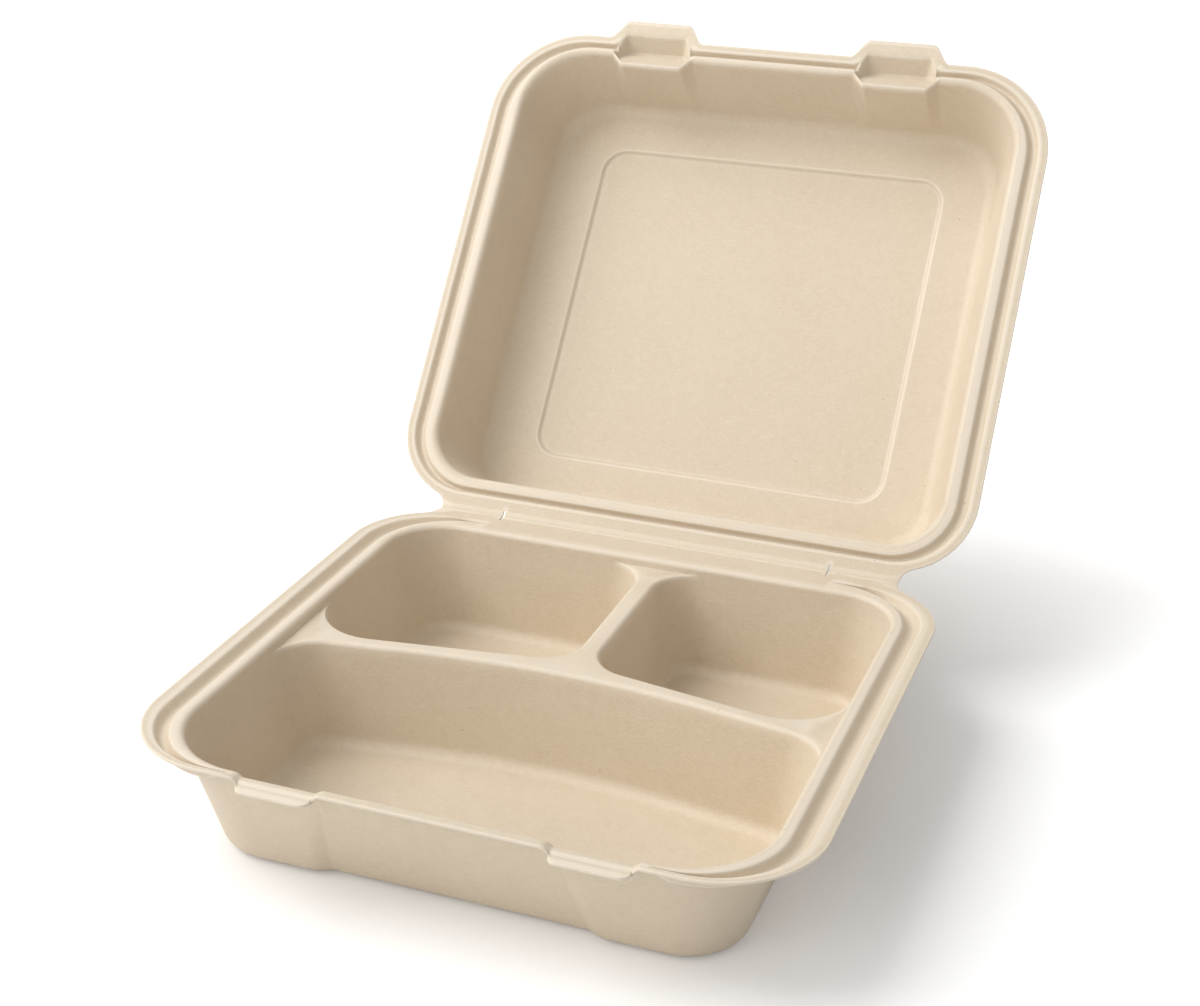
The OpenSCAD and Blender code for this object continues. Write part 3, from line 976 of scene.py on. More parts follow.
@dataclass
class Lid:
    """The upper half, drawn as a dish that opens upwards and then leant back from the crease."""

    wall: float = 0.8
    depth: float = 33.0
    rim_gap: float = 0.3
    open_angle: float = 128.0
    rim_d: float = 209.0
    back_r: float = 30.0
    front_r: float = 38.0
    side_w: float = 13.0
    front_w: float = 8.5
    back_w: float = 10.0
    lip_w: float = 3.2
    groove_end_w: float = 2.8
    side_slope: float = 17.0
    front_slope: float = 15.0
    back_slope: float = 8.0
    floor_r: float = 6.0
    edge_r: float = 1.6
    hollow_front_r: float = 27.0
    hollow_back_r: float = 21.0
    panel_w: float = 150.0
    panel_d: float = 141.0
    panel_y: float = 36.0
    panel_h: float = 1.3
    panel_slope_w: float = 2.0
    panel_r: float = 11.0
    tab_x: float = 52.0
    pocket_w: float = 35.0
    pocket_d: float = 14.5
    pocket_h: float = 6.5
    plate_reach: float = 8.0
    plate_w: float = 6.5
    pocket_tip: float = 13.0
    steep_share: float = 0.78
    end_slope: float = 1.7
    plate_ramp: float = 7.4
    trench_blend: float = 2.6
    trench_foot: float = 3.0
    bump_drop: float = 31.0
    panel_margin: float = 0.5
    cone: float = 0.5
    arc_steps: int = 16
    groove: Groove = field(default_factory=lambda: Groove(2.2, 5.6, 0.7))

    def __post_init__(self) -> None:
        """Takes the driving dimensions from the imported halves."""
        _, lid_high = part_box("lid")
        _, tray_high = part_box("tray")
        self.half_w = lid_high.x / MM
        self.hinge = Hinge(2.0 * self.half_w, self.back_r)
        self.crease_y = tray_high.y / MM + self.hinge.gap
        self.crease_z = tray_high.z / MM
        self.near_v = self.hinge.reach
        self.far_v = self.near_v + self.rim_d
        self.top = -self.rim_gap
        self.floor = self.top - self.depth
        self.pocket_v = self.far_v + self.plate_reach - self.plate_w - self.pocket_d
        self.sheet = Sheet("lid_shell")

    def place(self, points: Array) -> Array:
        """Takes points of the dish to where the open lid stands."""
        turn = Matrix.Rotation(math.radians(180.0 - self.open_angle), 3, "X")
        return points @ np.array(turn).T + np.array([0.0, self.crease_y, self.crease_z])

    def far_places(self) -> tuple[float, ...]:
        """Returns the x places along the far edge, close together at the pockets."""
        half = self.pocket_w / 2.0
        places = set(np.round(stations(-30.0, 30.0, 3.0), 3))
        for side in (-1.0, 1.0):
            places.update(np.round(side * np.array(stations(30.5, 43.0, 0.7)), 3))
            places.update(np.round(side * np.array(stations(44.0, 59.0, 1.6)), 3))
            places.update(np.round(side * np.array(stations(60.0, 66.0, 0.75)), 3))
        return tuple(sorted(p for p in places if abs(p) < self.tab_x + half))

    def outline(self) -> Outline:
        """Returns the outline that the rim's outer rings follow."""
        sides = tuple(stations(43.0, 167.0, 4.0))
        near = self.hinge.places((69.0,))
        return Outline(
            points=(
                (-self.half_w, self.near_v), (self.half_w, self.near_v),
                (self.half_w, self.far_v), (-self.half_w, self.far_v),
            ),
            places=(near, sides, self.far_places(), sides),
            cone=1.0,
            arcs=(self.arc_steps,) * 4,
            leads=(4, 3, 14, 3),
        )

    def hollow_outline(self, rim: Outline) -> Outline:
        """Returns the outline of the dish's hollow, with the same stations as the rim."""
        x = self.half_w - self.side_w
        low = self.near_v + self.back_w
        high = self.far_v - self.front_w
        return Outline(
            points=((-x, low), (x, low), (x, high), (-x, high)),
            places=rim.places,
            cone=self.cone,
            arcs=rim.arcs,
            leads=rim.leads,
        )

    def pocket_mask(self, loop: Array, half: float, ramp: float, crisp: bool = True) -> Array:
        """Gives 1 in the pockets and 0 elsewhere, for points near the far edge.

        Args:
            loop: Ring points.
            half: Half the width at which a pocket's end starts to fall.
            ramp: Width of that fall.
            crisp: Whether the fall is a straight slope or an S-shaped one.

        Returns:
            The mask at each point.
        """
        away = near_tabs(loop[:, 0], self.tab_x)
        far = smooth((loop[:, 1] - (self.far_v - 40.0)) / 10.0)
        return (bevelled if crisp else plateau)(away, half, ramp) * far

    def trench(self, loop: Array) -> Array:
        """Returns how deep the pockets are at each point of a ring.

        Each pocket is a steep outer wall, a ledge that rises to the crest, and two slanting ends
        that spread from the plate to the lid's wall and close in again towards the crest.
        """
        away = np.abs(near_tabs(loop[:, 0], self.tab_x))
        v = loop[:, 1]
        out = self.pocket_v + self.pocket_d
        crest_v = self.pocket_v + self.edge_r
        wall_v = self.far_v - self.front_w
        deep_v = out - self.pocket_h * self.steep_share
        steep = (out - v) / (out - deep_v) * self.pocket_h
        ledge = (v - crest_v) / (deep_v - crest_v) * self.pocket_h
        spread = np.interp(
            v, (self.pocket_v, wall_v, out), (self.pocket_tip, self.pocket_w / 2.0, self.pocket_tip)
        )
        end = (spread - away) * self.end_slope
        sharp = self.trench_blend
        parts = np.exp(-sharp * steep) + np.exp(-sharp * ledge) + np.exp(-sharp * end)
        least = -np.log(parts) / sharp
        return np.logaddexp(0.0, self.trench_foot * least) / self.trench_foot

    def with_hinge(self, loop: Array, rim: Outline) -> Array:
        """Runs the near side of the outermost loop out to the crease, by the rounded necks."""
        arc = self.arc_steps + 1
        lead = rim.leads[0] - 1
        near = len(rim.places[0])
        placed = loop.copy()
        left = placed[:arc]
        mirrored = left * np.array([-1.0, 1.0])
        path = self.hinge.path(mirrored, max(rim.places[0]))
        count = arc + lead
        path = np.concatenate([path[:arc], along(path[arc - 1 :], lead + 2)[1:-1]])
        placed[:count] = path * np.array([-1.0, 1.0])
        placed[count : count + near, 1] = self.hinge.gap
        placed[count + near : 2 * count + near] = path[::-1]
        return placed

    def rim_rings(self) -> list[Array]:
        """Lays the rings of the rim, its groove and the pockets."""
        rim = self.outline()
        hollow = self.hollow_outline(rim)
        radii = (self.back_r, self.back_r, self.front_r, self.front_r)
        sheet = self.sheet
        edge = rim.ring((0.0,) * 4, radii)
        plate = self.pocket_mask(edge, self.pocket_tip, self.plate_ramp, crisp=False)
        edge[:, 1] += np.where(edge[:, 1] > self.far_v - 0.01, self.plate_reach * plate, 0.0)
        edge = self.with_hinge(edge, rim)
        rings = []
        self.rim_drop: dict[int, float] = {}
        for distance, drop, share in ((0.0, 0.28, 0.38), (0.1, 0.08, 0.75), (0.3, 0.0, 1.0)):
            ids = sheet.ring(inset(edge, distance), self.top - drop)
            self.rim_drop.update({int(v): share * self.wall for v in ids})
            rings.append(ids)
        for shift, reach in ((0.9, 0.84), (2.0, 0.66)):
            loop = rim.ring((shift,) * 4, radii)
            mask = self.pocket_mask(loop, self.pocket_tip, self.plate_ramp, crisp=False)
            in_far = loop[:, 1] > self.far_v - 3.0
            loop[:, 1] += np.where(in_far, self.plate_reach * reach * mask, 0.0)
            near = loop[:, 1] < self.near_v + 2.5
            near &= np.abs(loop[:, 0]) < self.hinge.crease_w / 2.0
            loop[:, 1] -= np.where(near, 2.2, 0.0) * (shift < 1.0)
            rings.append(sheet.ring(loop, self.top))
        outer = rim.ring((self.lip_w,) * 4, radii)
        wide = self.lip_w + self.groove.width
        slim = self.lip_w + self.groove_end_w
        inner_radii = tuple(r - slim for r in radii)
        inner = replace(rim, cone=0.0).ring((slim, wide, slim, wide), inner_radii)
        wanted_out = self.pocket_v + self.pocket_d
        wanted_in = self.pocket_v + self.edge_r + 0.15
        end_w = self.pocket_w / 2.0 - self.pocket_tip
        for share in self.groove.shares:
            loop = outer + (inner - outer) * share
            place = self.pocket_mask(loop, self.pocket_tip, end_w)
            place = np.where(loop[:, 1] > self.far_v - 12.0, place, 0.0)
            target = wanted_out + (wanted_in - wanted_out) * share
            loop[:, 1] += (target - loop[:, 1]) * place
            pressed = np.where(loop[:, 1] > self.pocket_v - 1.0, self.trench(loop), 0.0)
            groove = self.groove.profile(share, np.full(len(loop), self.groove.width))
            z = self.top - groove * (1.0 - smooth(2.0 * place)) - pressed
            rings.append(sheet.ring(loop, z))
        walls = [
            (slope, self.top)
            for slope in (self.back_slope, self.side_slope, self.front_slope, self.side_slope)
        ]
        hollow_radii = (self.hollow_back_r,) * 2 + (self.hollow_front_r,) * 2
        levels = edge_levels(self.top, self.edge_r)
        levels += list(np.linspace(self.top - self.edge_r, self.floor + self.floor_r, 9)[1:])
        levels += fold_levels(self.floor, self.floor_r)
        for z in levels:
            shifts = [
                wall_shift(w, z, self.floor, self.floor_r) - edge_flare(w, z, self.edge_r)
                for w in walls
            ]
            loop = hollow.ring(shifts, hollow_radii)
            drop = self.top - z
            bump = (self.far_v - self.front_w - self.pocket_v) * max(0.0, 1.0 - drop / self.bump_drop)
            mask = self.pocket_mask(loop, self.pocket_tip, end_w)
            on_far = loop[:, 1] > self.far_v - self.front_w - shifts[2] - 2.0
            loop[:, 1] -= np.where(on_far, bump * mask, 0.0)
            rings.append(sheet.ring(loop, z))
        sheet.bands(rings)
        return rings

    def panel(self, outer: Array) -> None:
        """Presses the raised square into the middle of the lid."""
        half = self.panel_w / 2.0
        span = (self.panel_y, self.panel_y + self.panel_d)
        outline = Outline(
            points=((-half, span[0]), (half, span[0]), (half, span[1]), (-half, span[1])),
            places=(tuple(stations(-60.0, 60.0, 6.0)), tuple(stations(52.0, 160.0, 6.0))) * 2,
            cone=1.0,
            arcs=(8,) * 4,
            leads=(2,) * 4,
        )
        rings = []
        margin = self.panel_margin / self.panel_slope_w
        for share in (-margin, *np.linspace(0.0, 1.0, 7), 1.0 + margin):
            shift = self.panel_slope_w * share
            z = self.floor - self.panel_h * float(smooth(share))
            rings.append(self.sheet.ring(outline.ring((shift,) * 4, (self.panel_r,) * 4), z))
        self.sheet.bands(rings)
        self.sheet.fill(rings[-1])
        self.sheet.web(outer, [rings[0]])

    def make(self) -> bpy.types.Object:
        """Builds the lid's sheet."""
        rings = self.rim_rings()
        self.panel(rings[-1])

        def in_slit(centres: Array) -> Array:
            """Tells which faces lie in the slits across the crease."""
            return self.hinge.in_slit(centres[:, 0]) & (centres[:, 1] < self.near_v + 0.2)

        piece = self.sheet.build(self.wall, self.rim_drop, self.place, in_slit)
        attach(piece, Body.LID.value)
        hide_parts("lid")
        return piece


@dataclass
class Crease:
    """The thin pressed web that curves between the two halves."""

    wall: float = 0.4
    sunk: float = 0.1
    tucked: float = 1.0
    pull: float = 0.35
    side_gap: float = 0.2
    column_w: float = 4.0

    def make(self, lid: Lid) -> bpy.types.Object:
        """Builds the web from inside the tray's strip to inside the lid's.

        Args:
            lid: The finished lid, for the place of the crease and its angle.

        Returns:
            The web, curved between the two bodies.
        """
        hinge = lid.hinge
        y, z = lid.crease_y, lid.crease_z
        start = np.array([y - hinge.gap, z - self.sunk])
        back = start - np.array([self.tucked, 0.0])
        dish = np.array([
            [0.0, hinge.gap, lid.top - self.sunk],
            [0.0, hinge.gap + self.tucked, lid.top - self.sunk],
        ])
        end, beyond = lid.place(dish)[:, 1:]
        share = np.linspace(0.0, 1.0, 9)[:, None]
        first = start + np.array([self.pull, 0.0])
        second = end - (beyond - end) / np.linalg.norm(beyond - end) * self.pull
        curve = (
            start * (1 - share) ** 3 + first * 3 * share * (1 - share) ** 2
            + second * 3 * share**2 * (1 - share) + end * share**3
        )
        profile = np.concatenate([[back], curve, [beyond]])
        half = hinge.crease_w / 2.0 - self.side_gap
        slit = hinge.slit_w / 2.0
        spans = ((-half, -hinge.slit_x - slit), (-hinge.slit_x + slit, hinge.slit_x - slit),
                 (hinge.slit_x + slit, half))
        sheet = Sheet("crease_web")
        for low, high in spans:
            columns = stations(low, high, self.column_w)
            rows = []
            for py, pz in profile:
                loop = np.array([[x, py] for x in columns])
                rows.append(sheet.ring(loop, pz))
            for near, far in zip(rows, rows[1:]):
                sheet.bridge(near, far, closed=False)
        piece = sheet.build(self.wall, {}, lambda p: p)
        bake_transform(piece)
        return piece


# Shader groups

STRAND_TURNS = ((0.3, 0.2, 0.4), (1.1, 0.7, 1.5), (0.5, 1.9, 2.6), (2.1, 1.3, 0.9))
STRAND_SCALE = (420.0, 2600.0, 2600.0)
STRAND_RANGE = (0.54, 0.72)
GRAIN_SHARE = 0.6
BROAD_SHARE = 0.45
# Bend ranges over which the painted fold highlights fade in; the inward one also sets the polish.
CREST_RANGE = (0.08, 0.6)
VALLEY_RANGE = (0.05, 0.35)


@dataclass(frozen=True)
class Port:
    """One named socket of a shader group."""

    name: str
    kind: str


class GroupMaker:
    """Builds one shader group and wires it."""

    def __init__(self, name: str, inputs: Sequence[Port], outputs: Sequence[Port]) -> None:
        """Opens a group with its named sockets."""
        self.tree = bpy.data.node_groups.new(name, "ShaderNodeTree")
        for port in inputs:
            self.tree.interface.new_socket(port.name, in_out="INPUT", socket_type=port.kind)
        for port in outputs:
            self.tree.interface.new_socket(port.name, in_out="OUTPUT", socket_type=port.kind)
        self.inlet = self.tree.nodes.new("NodeGroupInput")
        self.outlet = self.tree.nodes.new("NodeGroupOutput")

    def node(self, kind: str, **settings: object) -> bpy.types.Node:
        """Adds a node with its settings."""
        made = self.tree.nodes.new(kind)
        for key, value in settings.items():
            setattr(made, key, value)
        return made

    def join(self, source: bpy.types.NodeSocket, target: bpy.types.NodeSocket) -> None:
        """Links two sockets."""
        self.tree.links.new(source, target)

    def maths(self, operation: str, a: object, b: object) -> bpy.types.NodeSocket:
        """Adds a sum on sockets or numbers and returns its result."""
        made = self.node("ShaderNodeMath", operation=operation)
        for socket, value in zip(made.inputs, (a, b)):
            if isinstance(value, bpy.types.NodeSocket):
                self.join(value, socket)
            else:
                socket.default_value = value
        return made.outputs[0]

    def ramp(self, value: object, low: float, high: float) -> bpy.types.NodeSocket:
        """Returns a smooth step of a value between two levels."""
        made = self.node("ShaderNodeMapRange", interpolation_type="SMOOTHSTEP")
        self.join(value, made.inputs["Value"])
        made.inputs["From Min"].default_value = low
        made.inputs["From Max"].default_value = high
        return made.outputs["Result"]

    def noise(
        self, vector: bpy.types.NodeSocket, scale: float, detail: float, rough: float
    ) -> bpy.types.NodeSocket:
        """Adds a noise and returns its level."""
        made = self.node("ShaderNodeTexNoise")
        self.join(vector, made.inputs["Vector"])
        made.inputs["Scale"].default_value = scale
        made.inputs["Detail"].default_value = detail
        made.inputs["Roughness"].default_value = rough
        return made.outputs["Fac"]

    def mapped(self, vector: bpy.types.NodeSocket, turn: tuple[float, float, float],
               scale: tuple[float, float, float]) -> bpy.types.NodeSocket:
        """Turns and stretches coordinates."""
        made = self.node("ShaderNodeMapping", vector_type="POINT")
        self.join(vector, made.inputs["Vector"])
        made.inputs["Rotation"].default_value = turn
        made.inputs["Scale"].default_value = scale
        return made.outputs["Vector"]


def fibre_group() -> bpy.types.NodeTree:
    """Makes the group for the matted fibres, as a mask and a height."""
    maker = GroupMaker(
        "matted_fibre",
        (Port("Vector", "NodeSocketVector"),),
        (Port("Strands", "NodeSocketFloat"), Port("Height", "NodeSocketFloat")),
    )
    vector = maker.inlet.outputs["Vector"]
    warp = maker.node("ShaderNodeTexNoise")
    maker.join(vector, warp.inputs["Vector"])
    warp.inputs["Scale"].default_value = 140.0
    warp.inputs["Detail"].default_value = 1.0
    bent = maker.node("ShaderNodeVectorMath", operation="MULTIPLY_ADD")
    maker.join(warp.outputs["Color"], bent.inputs[0])
    bent.inputs[1].default_value = (0.004, 0.004, 0.004)
    maker.join(vector, bent.inputs[2])
    strands = None
    for turn in STRAND_TURNS:
        laid = maker.mapped(bent.outputs[0], turn, STRAND_SCALE)
        level = maker.noise(laid, 1.0, 1.0, 0.4)
        strand = maker.ramp(level, *STRAND_RANGE)
        strands = strand if strands is None else maker.maths("MAXIMUM", strands, strand)
    grain = maker.noise(vector, 1500.0, 2.0, 0.6)
    maker.join(strands, maker.outlet.inputs["Strands"])
    height = maker.maths("MULTIPLY", grain, GRAIN_SHARE)
    maker.join(maker.maths("ADD", height, strands), maker.outlet.inputs["Height"])
    return maker.tree


def mottle_group() -> bpy.types.NodeTree:
    """Makes the group for the cloudy tone that pulp dries with, and its darker flecks."""
    maker = GroupMaker(
        "pulp_mottle",
        (Port("Vector", "NodeSocketVector"),),
        (Port("Clouds", "NodeSocketFloat"), Port("Flecks", "NodeSocketFloat")),
    )
    vector = maker.inlet.outputs["Vector"]
    broad = maker.noise(vector, 28.0, 3.0, 0.55)
    close = maker.noise(vector, 260.0, 3.0, 0.6)
    total = maker.maths("MULTIPLY", close, 1.0 - BROAD_SHARE)
    both = maker.maths("ADD", maker.maths("MULTIPLY", broad, BROAD_SHARE), total)
    maker.join(maker.ramp(both, 0.3, 0.7), maker.outlet.inputs["Clouds"])
    spots = maker.node("ShaderNodeTexVoronoi", feature="F1")
    laid = maker.mapped(vector, (0.4, 0.9, 0.2), (1.0, 1.7, 1.3))
    maker.join(laid, spots.inputs["Vector"])
    spots.inputs["Scale"].default_value = 190.0
    near = maker.maths("SUBTRACT", 1.0, maker.ramp(spots.outputs["Distance"], 0.03, 0.1))
    rare = maker.node("ShaderNodeSeparateColor")
    maker.join(spots.outputs["Color"], rare.inputs["Color"])
    chosen = maker.ramp(rare.outputs[0], 0.9, 0.95)
    maker.join(maker.maths("MULTIPLY", near, chosen), maker.outlet.inputs["Flecks"])
    return maker.tree


def fold_group() -> bpy.types.NodeTree:
    """Makes the group that reads where the sheet folds outwards or inwards, as masks for the painted
    fold highlights and the polish in inward folds.
    """
    maker = GroupMaker(
        "fold_highlight",
        (),
        (Port("Crest", "NodeSocketFloat"), Port("Valley", "NodeSocketFloat")),
    )
    bend = maker.node("ShaderNodeAttribute", attribute_name="crest")
    level = bend.outputs["Fac"]
    maker.join(maker.ramp(level, *CREST_RANGE), maker.outlet.inputs["Crest"])
    turned_in = maker.maths("MULTIPLY", level, -1.0)
    maker.join(maker.ramp(turned_in, *VALLEY_RANGE), maker.outlet.inputs["Valley"])
    return maker.tree


@dataclass(frozen=True)
class FibreFinish:
    """The matt, pale straw finish of pressed plant fibre, with painted highlights along its folds."""

    name: str
    base: tuple[float, float, float]
    cloud: tuple[float, float, float]
    strand: tuple[float, float, float]
    fleck: tuple[float, float, float]
    # Painted highlight colours: crest on outward folds, valley in inward folds.
    crest: tuple[float, float, float]
    valley_highlight: tuple[float, float, float]
    roughness: float
    grain_depth: float
    strand_amount: float = 0.5
    # How strongly the painted fold highlights are laid on.
    valley_highlight_amount: float = 0.3
    crest_amount: float = 0.55
    fleck_amount: float = 0.6
    roughness_spread: float = 0.06
    valley_polish: float = 0.14
    specular: float = 0.5
    sheen: float = 0.12
    sheen_roughness: float = 0.5
    grain_strength: float = 0.55
    wave_strength: float = 0.5
    wave_depth: float = 0.12

    def build(self, groups: dict[str, bpy.types.NodeTree]) -> bpy.types.Material:
        """Makes the material.

        Args:
            groups: The shader groups by name.

        Returns:
            The finished material.
        """
        material = bpy.data.materials.new(self.name)
        material.use_nodes = True
        tree = material.node_tree
        nodes, links = tree.nodes, tree.links
        nodes.clear()
        out = nodes.new("ShaderNodeOutputMaterial")
        shader = nodes.new("ShaderNodeBsdfPrincipled")
        links.new(shader.outputs[0], out.inputs["Surface"])
        place = nodes.new("ShaderNodeTexCoord")

        def placed(name: str) -> bpy.types.Node:
            """Adds one of the groups, fed with the object's own coordinates."""
            node = nodes.new("ShaderNodeGroup")
            node.node_tree = groups[name]
            if "Vector" in node.inputs:
                links.new(place.outputs["Object"], node.inputs["Vector"])
            return node

        fibre, mottle, fold = placed("matted_fibre"), placed("pulp_mottle"), placed("fold_highlight")

        def mixed(
            below: object, colour: tuple[float, float, float], mask: object, amount: float
        ) -> object:
            """Lays one colour over another through a mask."""
            scaled = nodes.new("ShaderNodeMath")
            scaled.operation = "MULTIPLY"
            links.new(mask, scaled.inputs[0])
            scaled.inputs[1].default_value = amount
            mix = nodes.new("ShaderNodeMix")
            mix.data_type = "RGBA"
            links.new(scaled.outputs[0], mix.inputs["Factor"])
            if isinstance(below, tuple):
                mix.inputs[6].default_value = (*linear(below), 1.0)
            else:
                links.new(below, mix.inputs[6])
            mix.inputs[7].default_value = (*linear(colour), 1.0)
            return mix.outputs[2]

        tone = mixed(self.base, self.cloud, mottle.outputs["Clouds"], 1.0)
        tone = mixed(tone, self.strand, fibre.outputs["Strands"], self.strand_amount)
        # Painted highlight in the inward folds, a lighter line where the satin fold catches the light.
        tone = mixed(tone, self.valley_highlight, fold.outputs["Valley"], self.valley_highlight_amount)
        # Painted highlight on the outward folds, lighter where satin light would catch the edges.
        tone = mixed(tone, self.crest, fold.outputs["Crest"], self.crest_amount)
        tone = mixed(tone, self.fleck, mottle.outputs["Flecks"], self.fleck_amount)
        links.new(tone, shader.inputs["Base Color"])
        rough = nodes.new("ShaderNodeMapRange")
        links.new(mottle.outputs["Clouds"], rough.inputs["Value"])
        rough.inputs["To Min"].default_value = self.roughness - self.roughness_spread
        rough.inputs["To Max"].default_value = self.roughness + self.roughness_spread
        polished = nodes.new("ShaderNodeMath")
        polished.operation = "MULTIPLY_ADD"
        links.new(fold.outputs["Valley"], polished.inputs[0])
        polished.inputs[1].default_value = -self.valley_polish
        links.new(rough.outputs["Result"], polished.inputs[2])
        links.new(polished.outputs[0], shader.inputs["Roughness"])
        shader.inputs["Specular IOR Level"].default_value = self.specular
        shader.inputs["Sheen Weight"].default_value = self.sheen
        shader.inputs["Sheen Roughness"].default_value = self.sheen_roughness
        bump = nodes.new("ShaderNodeBump")
        bump.inputs["Strength"].default_value = self.grain_strength
        bump.inputs["Distance"].default_value = self.grain_depth * MM
        links.new(fibre.outputs["Height"], bump.inputs["Height"])
        waves = nodes.new("ShaderNodeBump")
        waves.inputs["Strength"].default_value = self.wave_strength
        waves.inputs["Distance"].default_value = self.wave_depth * MM
        links.new(mottle.outputs["Clouds"], waves.inputs["Height"])
        links.new(waves.outputs["Normal"], bump.inputs["Normal"])
        links.new(bump.outputs["Normal"], shader.inputs["Normal"])
        return material


def linear(colour: Iterable[float]) -> tuple[float, ...]:
    """Returns a display colour as the linear values that shaders use."""
    return tuple(c / 12.92 if c <= 0.04045 else ((c + 0.055) / 1.055) ** 2.4 for c in colour)


@dataclass(frozen=True)
class Lamp:
    """One soft square lamp, with its place and size in metres and its power in watts."""

    name: str
    place: tuple[float, float, float]
    size: float
    power: float


LAMPS = (
    Lamp("key", (-1.15, -0.15, 1.5), 1.4, 27.5),
    Lamp("fill", (-1.0, -1.7, 1.0), 1.6, 10.5),
)


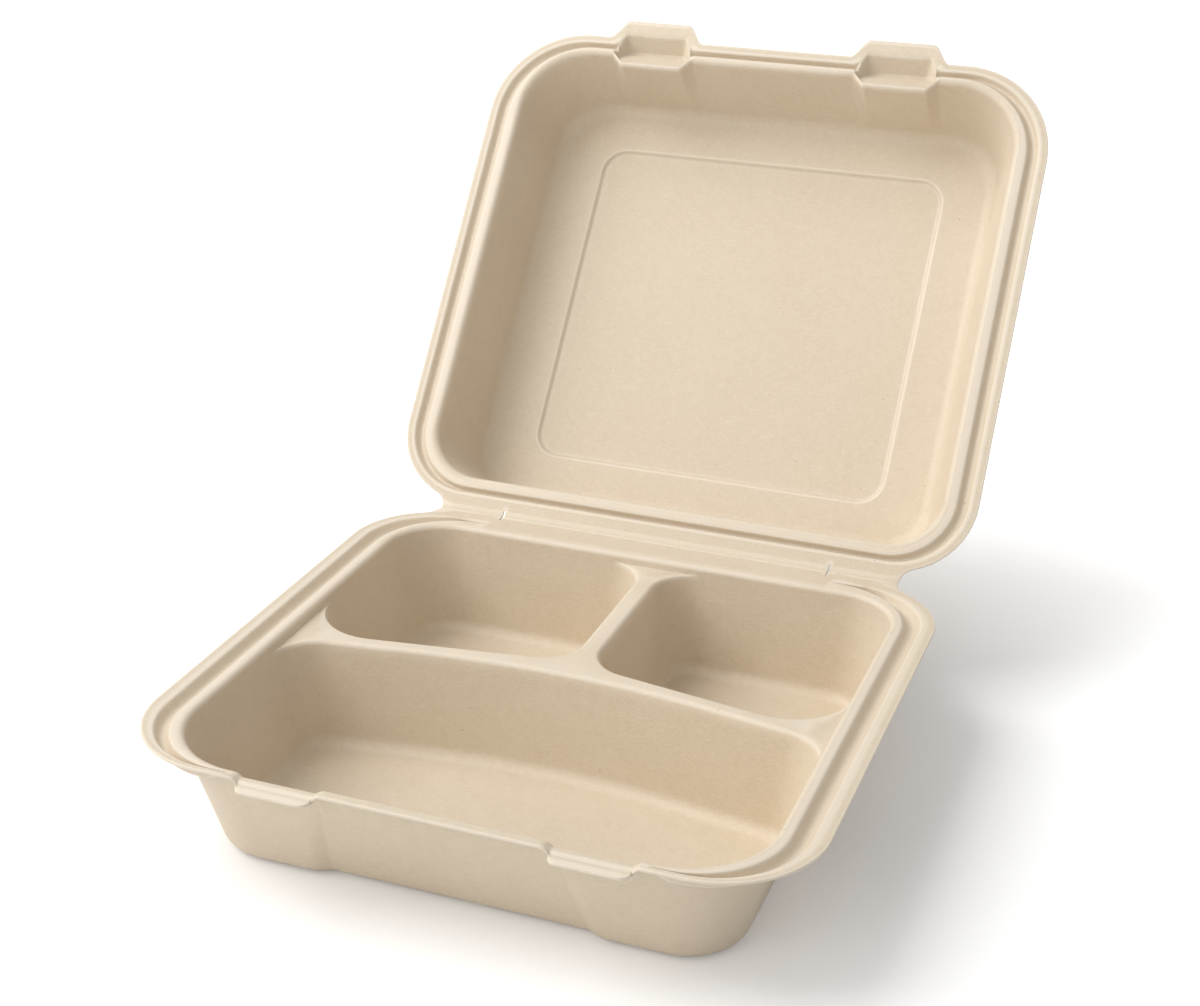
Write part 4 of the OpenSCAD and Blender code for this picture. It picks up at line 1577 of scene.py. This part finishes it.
@dataclass
class Studio:
    """A pale floor with a painted glow, soft lights and the camera."""

    lamps: tuple[Lamp, ...] = LAMPS
    ambient: float = 0.46
    floor_size: float = 6.0
    floor_tone: float = 0.93
    # Painted floor glow: its strength far out and near the container, and where it fades between them.
    painted_glow_far: float = 0.6
    painted_glow_near: float = 0.12
    glow_middle: tuple[float, float, float] = (0.0, 0.05, 0.0)
    glow_from: float = 0.1
    glow_to: float = 0.36
    lamp_target: tuple[float, float, float] = (0.0, 0.1, 0.05)
    camera_place: tuple[float, float, float] = (224.36, -516.41, 369.0)
    azimuth: float = 20.48
    elevation: float = 23.67
    roll: float = 0.69
    lens: float = 59.85
    sensor: float = 36.0

    def add_floor(self) -> None:
        """Lays the pale floor, with a painted glow that only the camera sees: weaker near the
        container, where it leaves a painted shade, and stronger further out, where it hides the
        shadows.
        """
        mesh = bpy.data.meshes.new("floor")
        half = self.floor_size / 2.0
        corners = [(-half, -half, 0.0), (half, -half, 0.0), (half, half, 0.0), (-half, half, 0.0)]
        mesh.from_pydata(corners, [], [(0, 1, 2, 3)])
        floor = bpy.data.objects.new("floor", mesh)
        bpy.context.scene.collection.objects.link(floor)
        material = bpy.data.materials.new("floor_paper")
        material.use_nodes = True
        nodes, links = material.node_tree.nodes, material.node_tree.links
        nodes.clear()
        out = nodes.new("ShaderNodeOutputMaterial")
        paper = nodes.new("ShaderNodeBsdfDiffuse")
        paper.inputs["Color"].default_value = (self.floor_tone,) * 3 + (1.0,)
        # Painted glow seen only by the camera, weaker near the container and stronger further out.
        painted_glow = nodes.new("ShaderNodeEmission")
        spot = nodes.new("ShaderNodeTexCoord")
        reach = nodes.new("ShaderNodeVectorMath")
        reach.operation = "DISTANCE"
        links.new(spot.outputs["Object"], reach.inputs[0])
        reach.inputs[1].default_value = self.glow_middle
        glow = nodes.new("ShaderNodeMapRange")
        glow.interpolation_type = "SMOOTHSTEP"
        links.new(reach.outputs["Value"], glow.inputs["Value"])
        glow.inputs["From Min"].default_value = self.glow_from
        glow.inputs["From Max"].default_value = self.glow_to
        glow.inputs["To Min"].default_value = self.painted_glow_near
        glow.inputs["To Max"].default_value = self.painted_glow_far
        links.new(glow.outputs["Result"], painted_glow.inputs["Strength"])
        both = nodes.new("ShaderNodeAddShader")
        links.new(paper.outputs[0], both.inputs[0])
        links.new(painted_glow.outputs[0], both.inputs[1])
        rays = nodes.new("ShaderNodeLightPath")
        seen = nodes.new("ShaderNodeMixShader")
        links.new(rays.outputs["Is Camera Ray"], seen.inputs[0])
        links.new(paper.outputs[0], seen.inputs[1])
        links.new(both.outputs[0], seen.inputs[2])
        links.new(seen.outputs[0], out.inputs["Surface"])
        mesh.materials.append(material)

    def add_lamp(self, lamp: Lamp) -> None:
        """Adds a lamp that faces the container."""
        light = bpy.data.lights.new(lamp.name, "AREA")
        light.shape = "SQUARE"
        light.size = lamp.size
        light.energy = lamp.power
        holder = bpy.data.objects.new(lamp.name, light)
        holder.location = lamp.place
        target = Vector(self.lamp_target)
        holder.rotation_euler = (target - Vector(lamp.place)).to_track_quat("-Z", "Y").to_euler()
        bpy.context.scene.collection.objects.link(holder)

    def add_world(self) -> None:
        """Sets a soft ambient level, and white where the camera sees past the floor."""
        world = bpy.data.worlds.new("studio")
        bpy.context.scene.world = world
        world.use_nodes = True
        nodes, links = world.node_tree.nodes, world.node_tree.links
        nodes.clear()
        out = nodes.new("ShaderNodeOutputWorld")
        ambient = nodes.new("ShaderNodeBackground")
        ambient.inputs["Color"].default_value = WHITE
        ambient.inputs["Strength"].default_value = self.ambient
        white = nodes.new("ShaderNodeBackground")
        white.inputs["Strength"].default_value = 1.0
        white.inputs["Color"].default_value = WHITE
        rays = nodes.new("ShaderNodeLightPath")
        seen = nodes.new("ShaderNodeMath")
        seen.operation = "MAXIMUM"
        links.new(rays.outputs["Is Camera Ray"], seen.inputs[0])
        links.new(rays.outputs["Is Glossy Ray"], seen.inputs[1])
        mix = nodes.new("ShaderNodeMixShader")
        links.new(seen.outputs[0], mix.inputs[0])
        links.new(ambient.outputs[0], mix.inputs[1])
        links.new(white.outputs[0], mix.inputs[2])
        links.new(mix.outputs[0], out.inputs["Surface"])

    def add_camera(self) -> None:
        """Sets the camera where the photograph was taken from."""
        a, e, r = (math.radians(v) for v in (self.azimuth, self.elevation, self.roll))
        back = Vector((math.sin(a) * math.cos(e), -math.cos(a) * math.cos(e), math.sin(e)))
        level = Vector((0.0, 0.0, 1.0)).cross(back).normalized()
        upright = back.cross(level)
        right = level * math.cos(r) + upright * math.sin(r)
        up = upright * math.cos(r) - level * math.sin(r)
        lens = bpy.data.cameras.new("camera")
        lens.lens = self.lens
        lens.sensor_width = self.sensor
        lens.sensor_fit = "HORIZONTAL"
        lens.clip_start = 0.01
        camera = bpy.data.objects.new("camera", lens)
        turn = Matrix((right, up, back)).transposed()
        camera.matrix_world = Matrix.Translation(Vector(self.camera_place) * MM) @ turn.to_4x4()
        bpy.context.scene.collection.objects.link(camera)
        bpy.context.scene.camera = camera

    def build(self) -> None:
        """Sets up the whole studio."""
        bpy.context.scene.view_settings.view_transform = "Standard"
        self.add_floor()
        self.add_world()
        for lamp in self.lamps:
            self.add_lamp(lamp)
        self.add_camera()


PULP = FibreFinish(
    name="moulded_fibre",
    base=(0.828, 0.762, 0.664),
    cloud=(0.848, 0.788, 0.695),
    strand=(0.885, 0.825, 0.74),
    fleck=(0.60, 0.49, 0.36),
    # Painted highlight colours for the outward and inward folds, lighter than the base.
    crest=(0.925, 0.88, 0.81),
    valley_highlight=(0.87, 0.82, 0.745),
    roughness=0.52,
    grain_depth=0.05,
)


def main() -> None:
    """Builds the container, its finish and the studio."""
    logging.basicConfig(level=logging.INFO, format="%(name)s: %(message)s")
    Studio().build()
    groups = {
        "matted_fibre": fibre_group(),
        "pulp_mottle": mottle_group(),
        "fold_highlight": fold_group(),
    }
    material = PULP.build(groups)
    tray = Tray().make()
    lid_maker = Lid()
    lid = lid_maker.make()
    web = Crease().make(lid_maker)
    for piece in (tray, lid, web):
        piece.data.materials.append(material)
        mesh = piece.data
        LOG.info("%s: %d points, %d faces", piece.name, len(mesh.vertices), len(mesh.polygons))
    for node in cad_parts.values():
        node.data.materials.clear()
        node.data.materials.append(material)


if __name__ == "__main__":
    main()
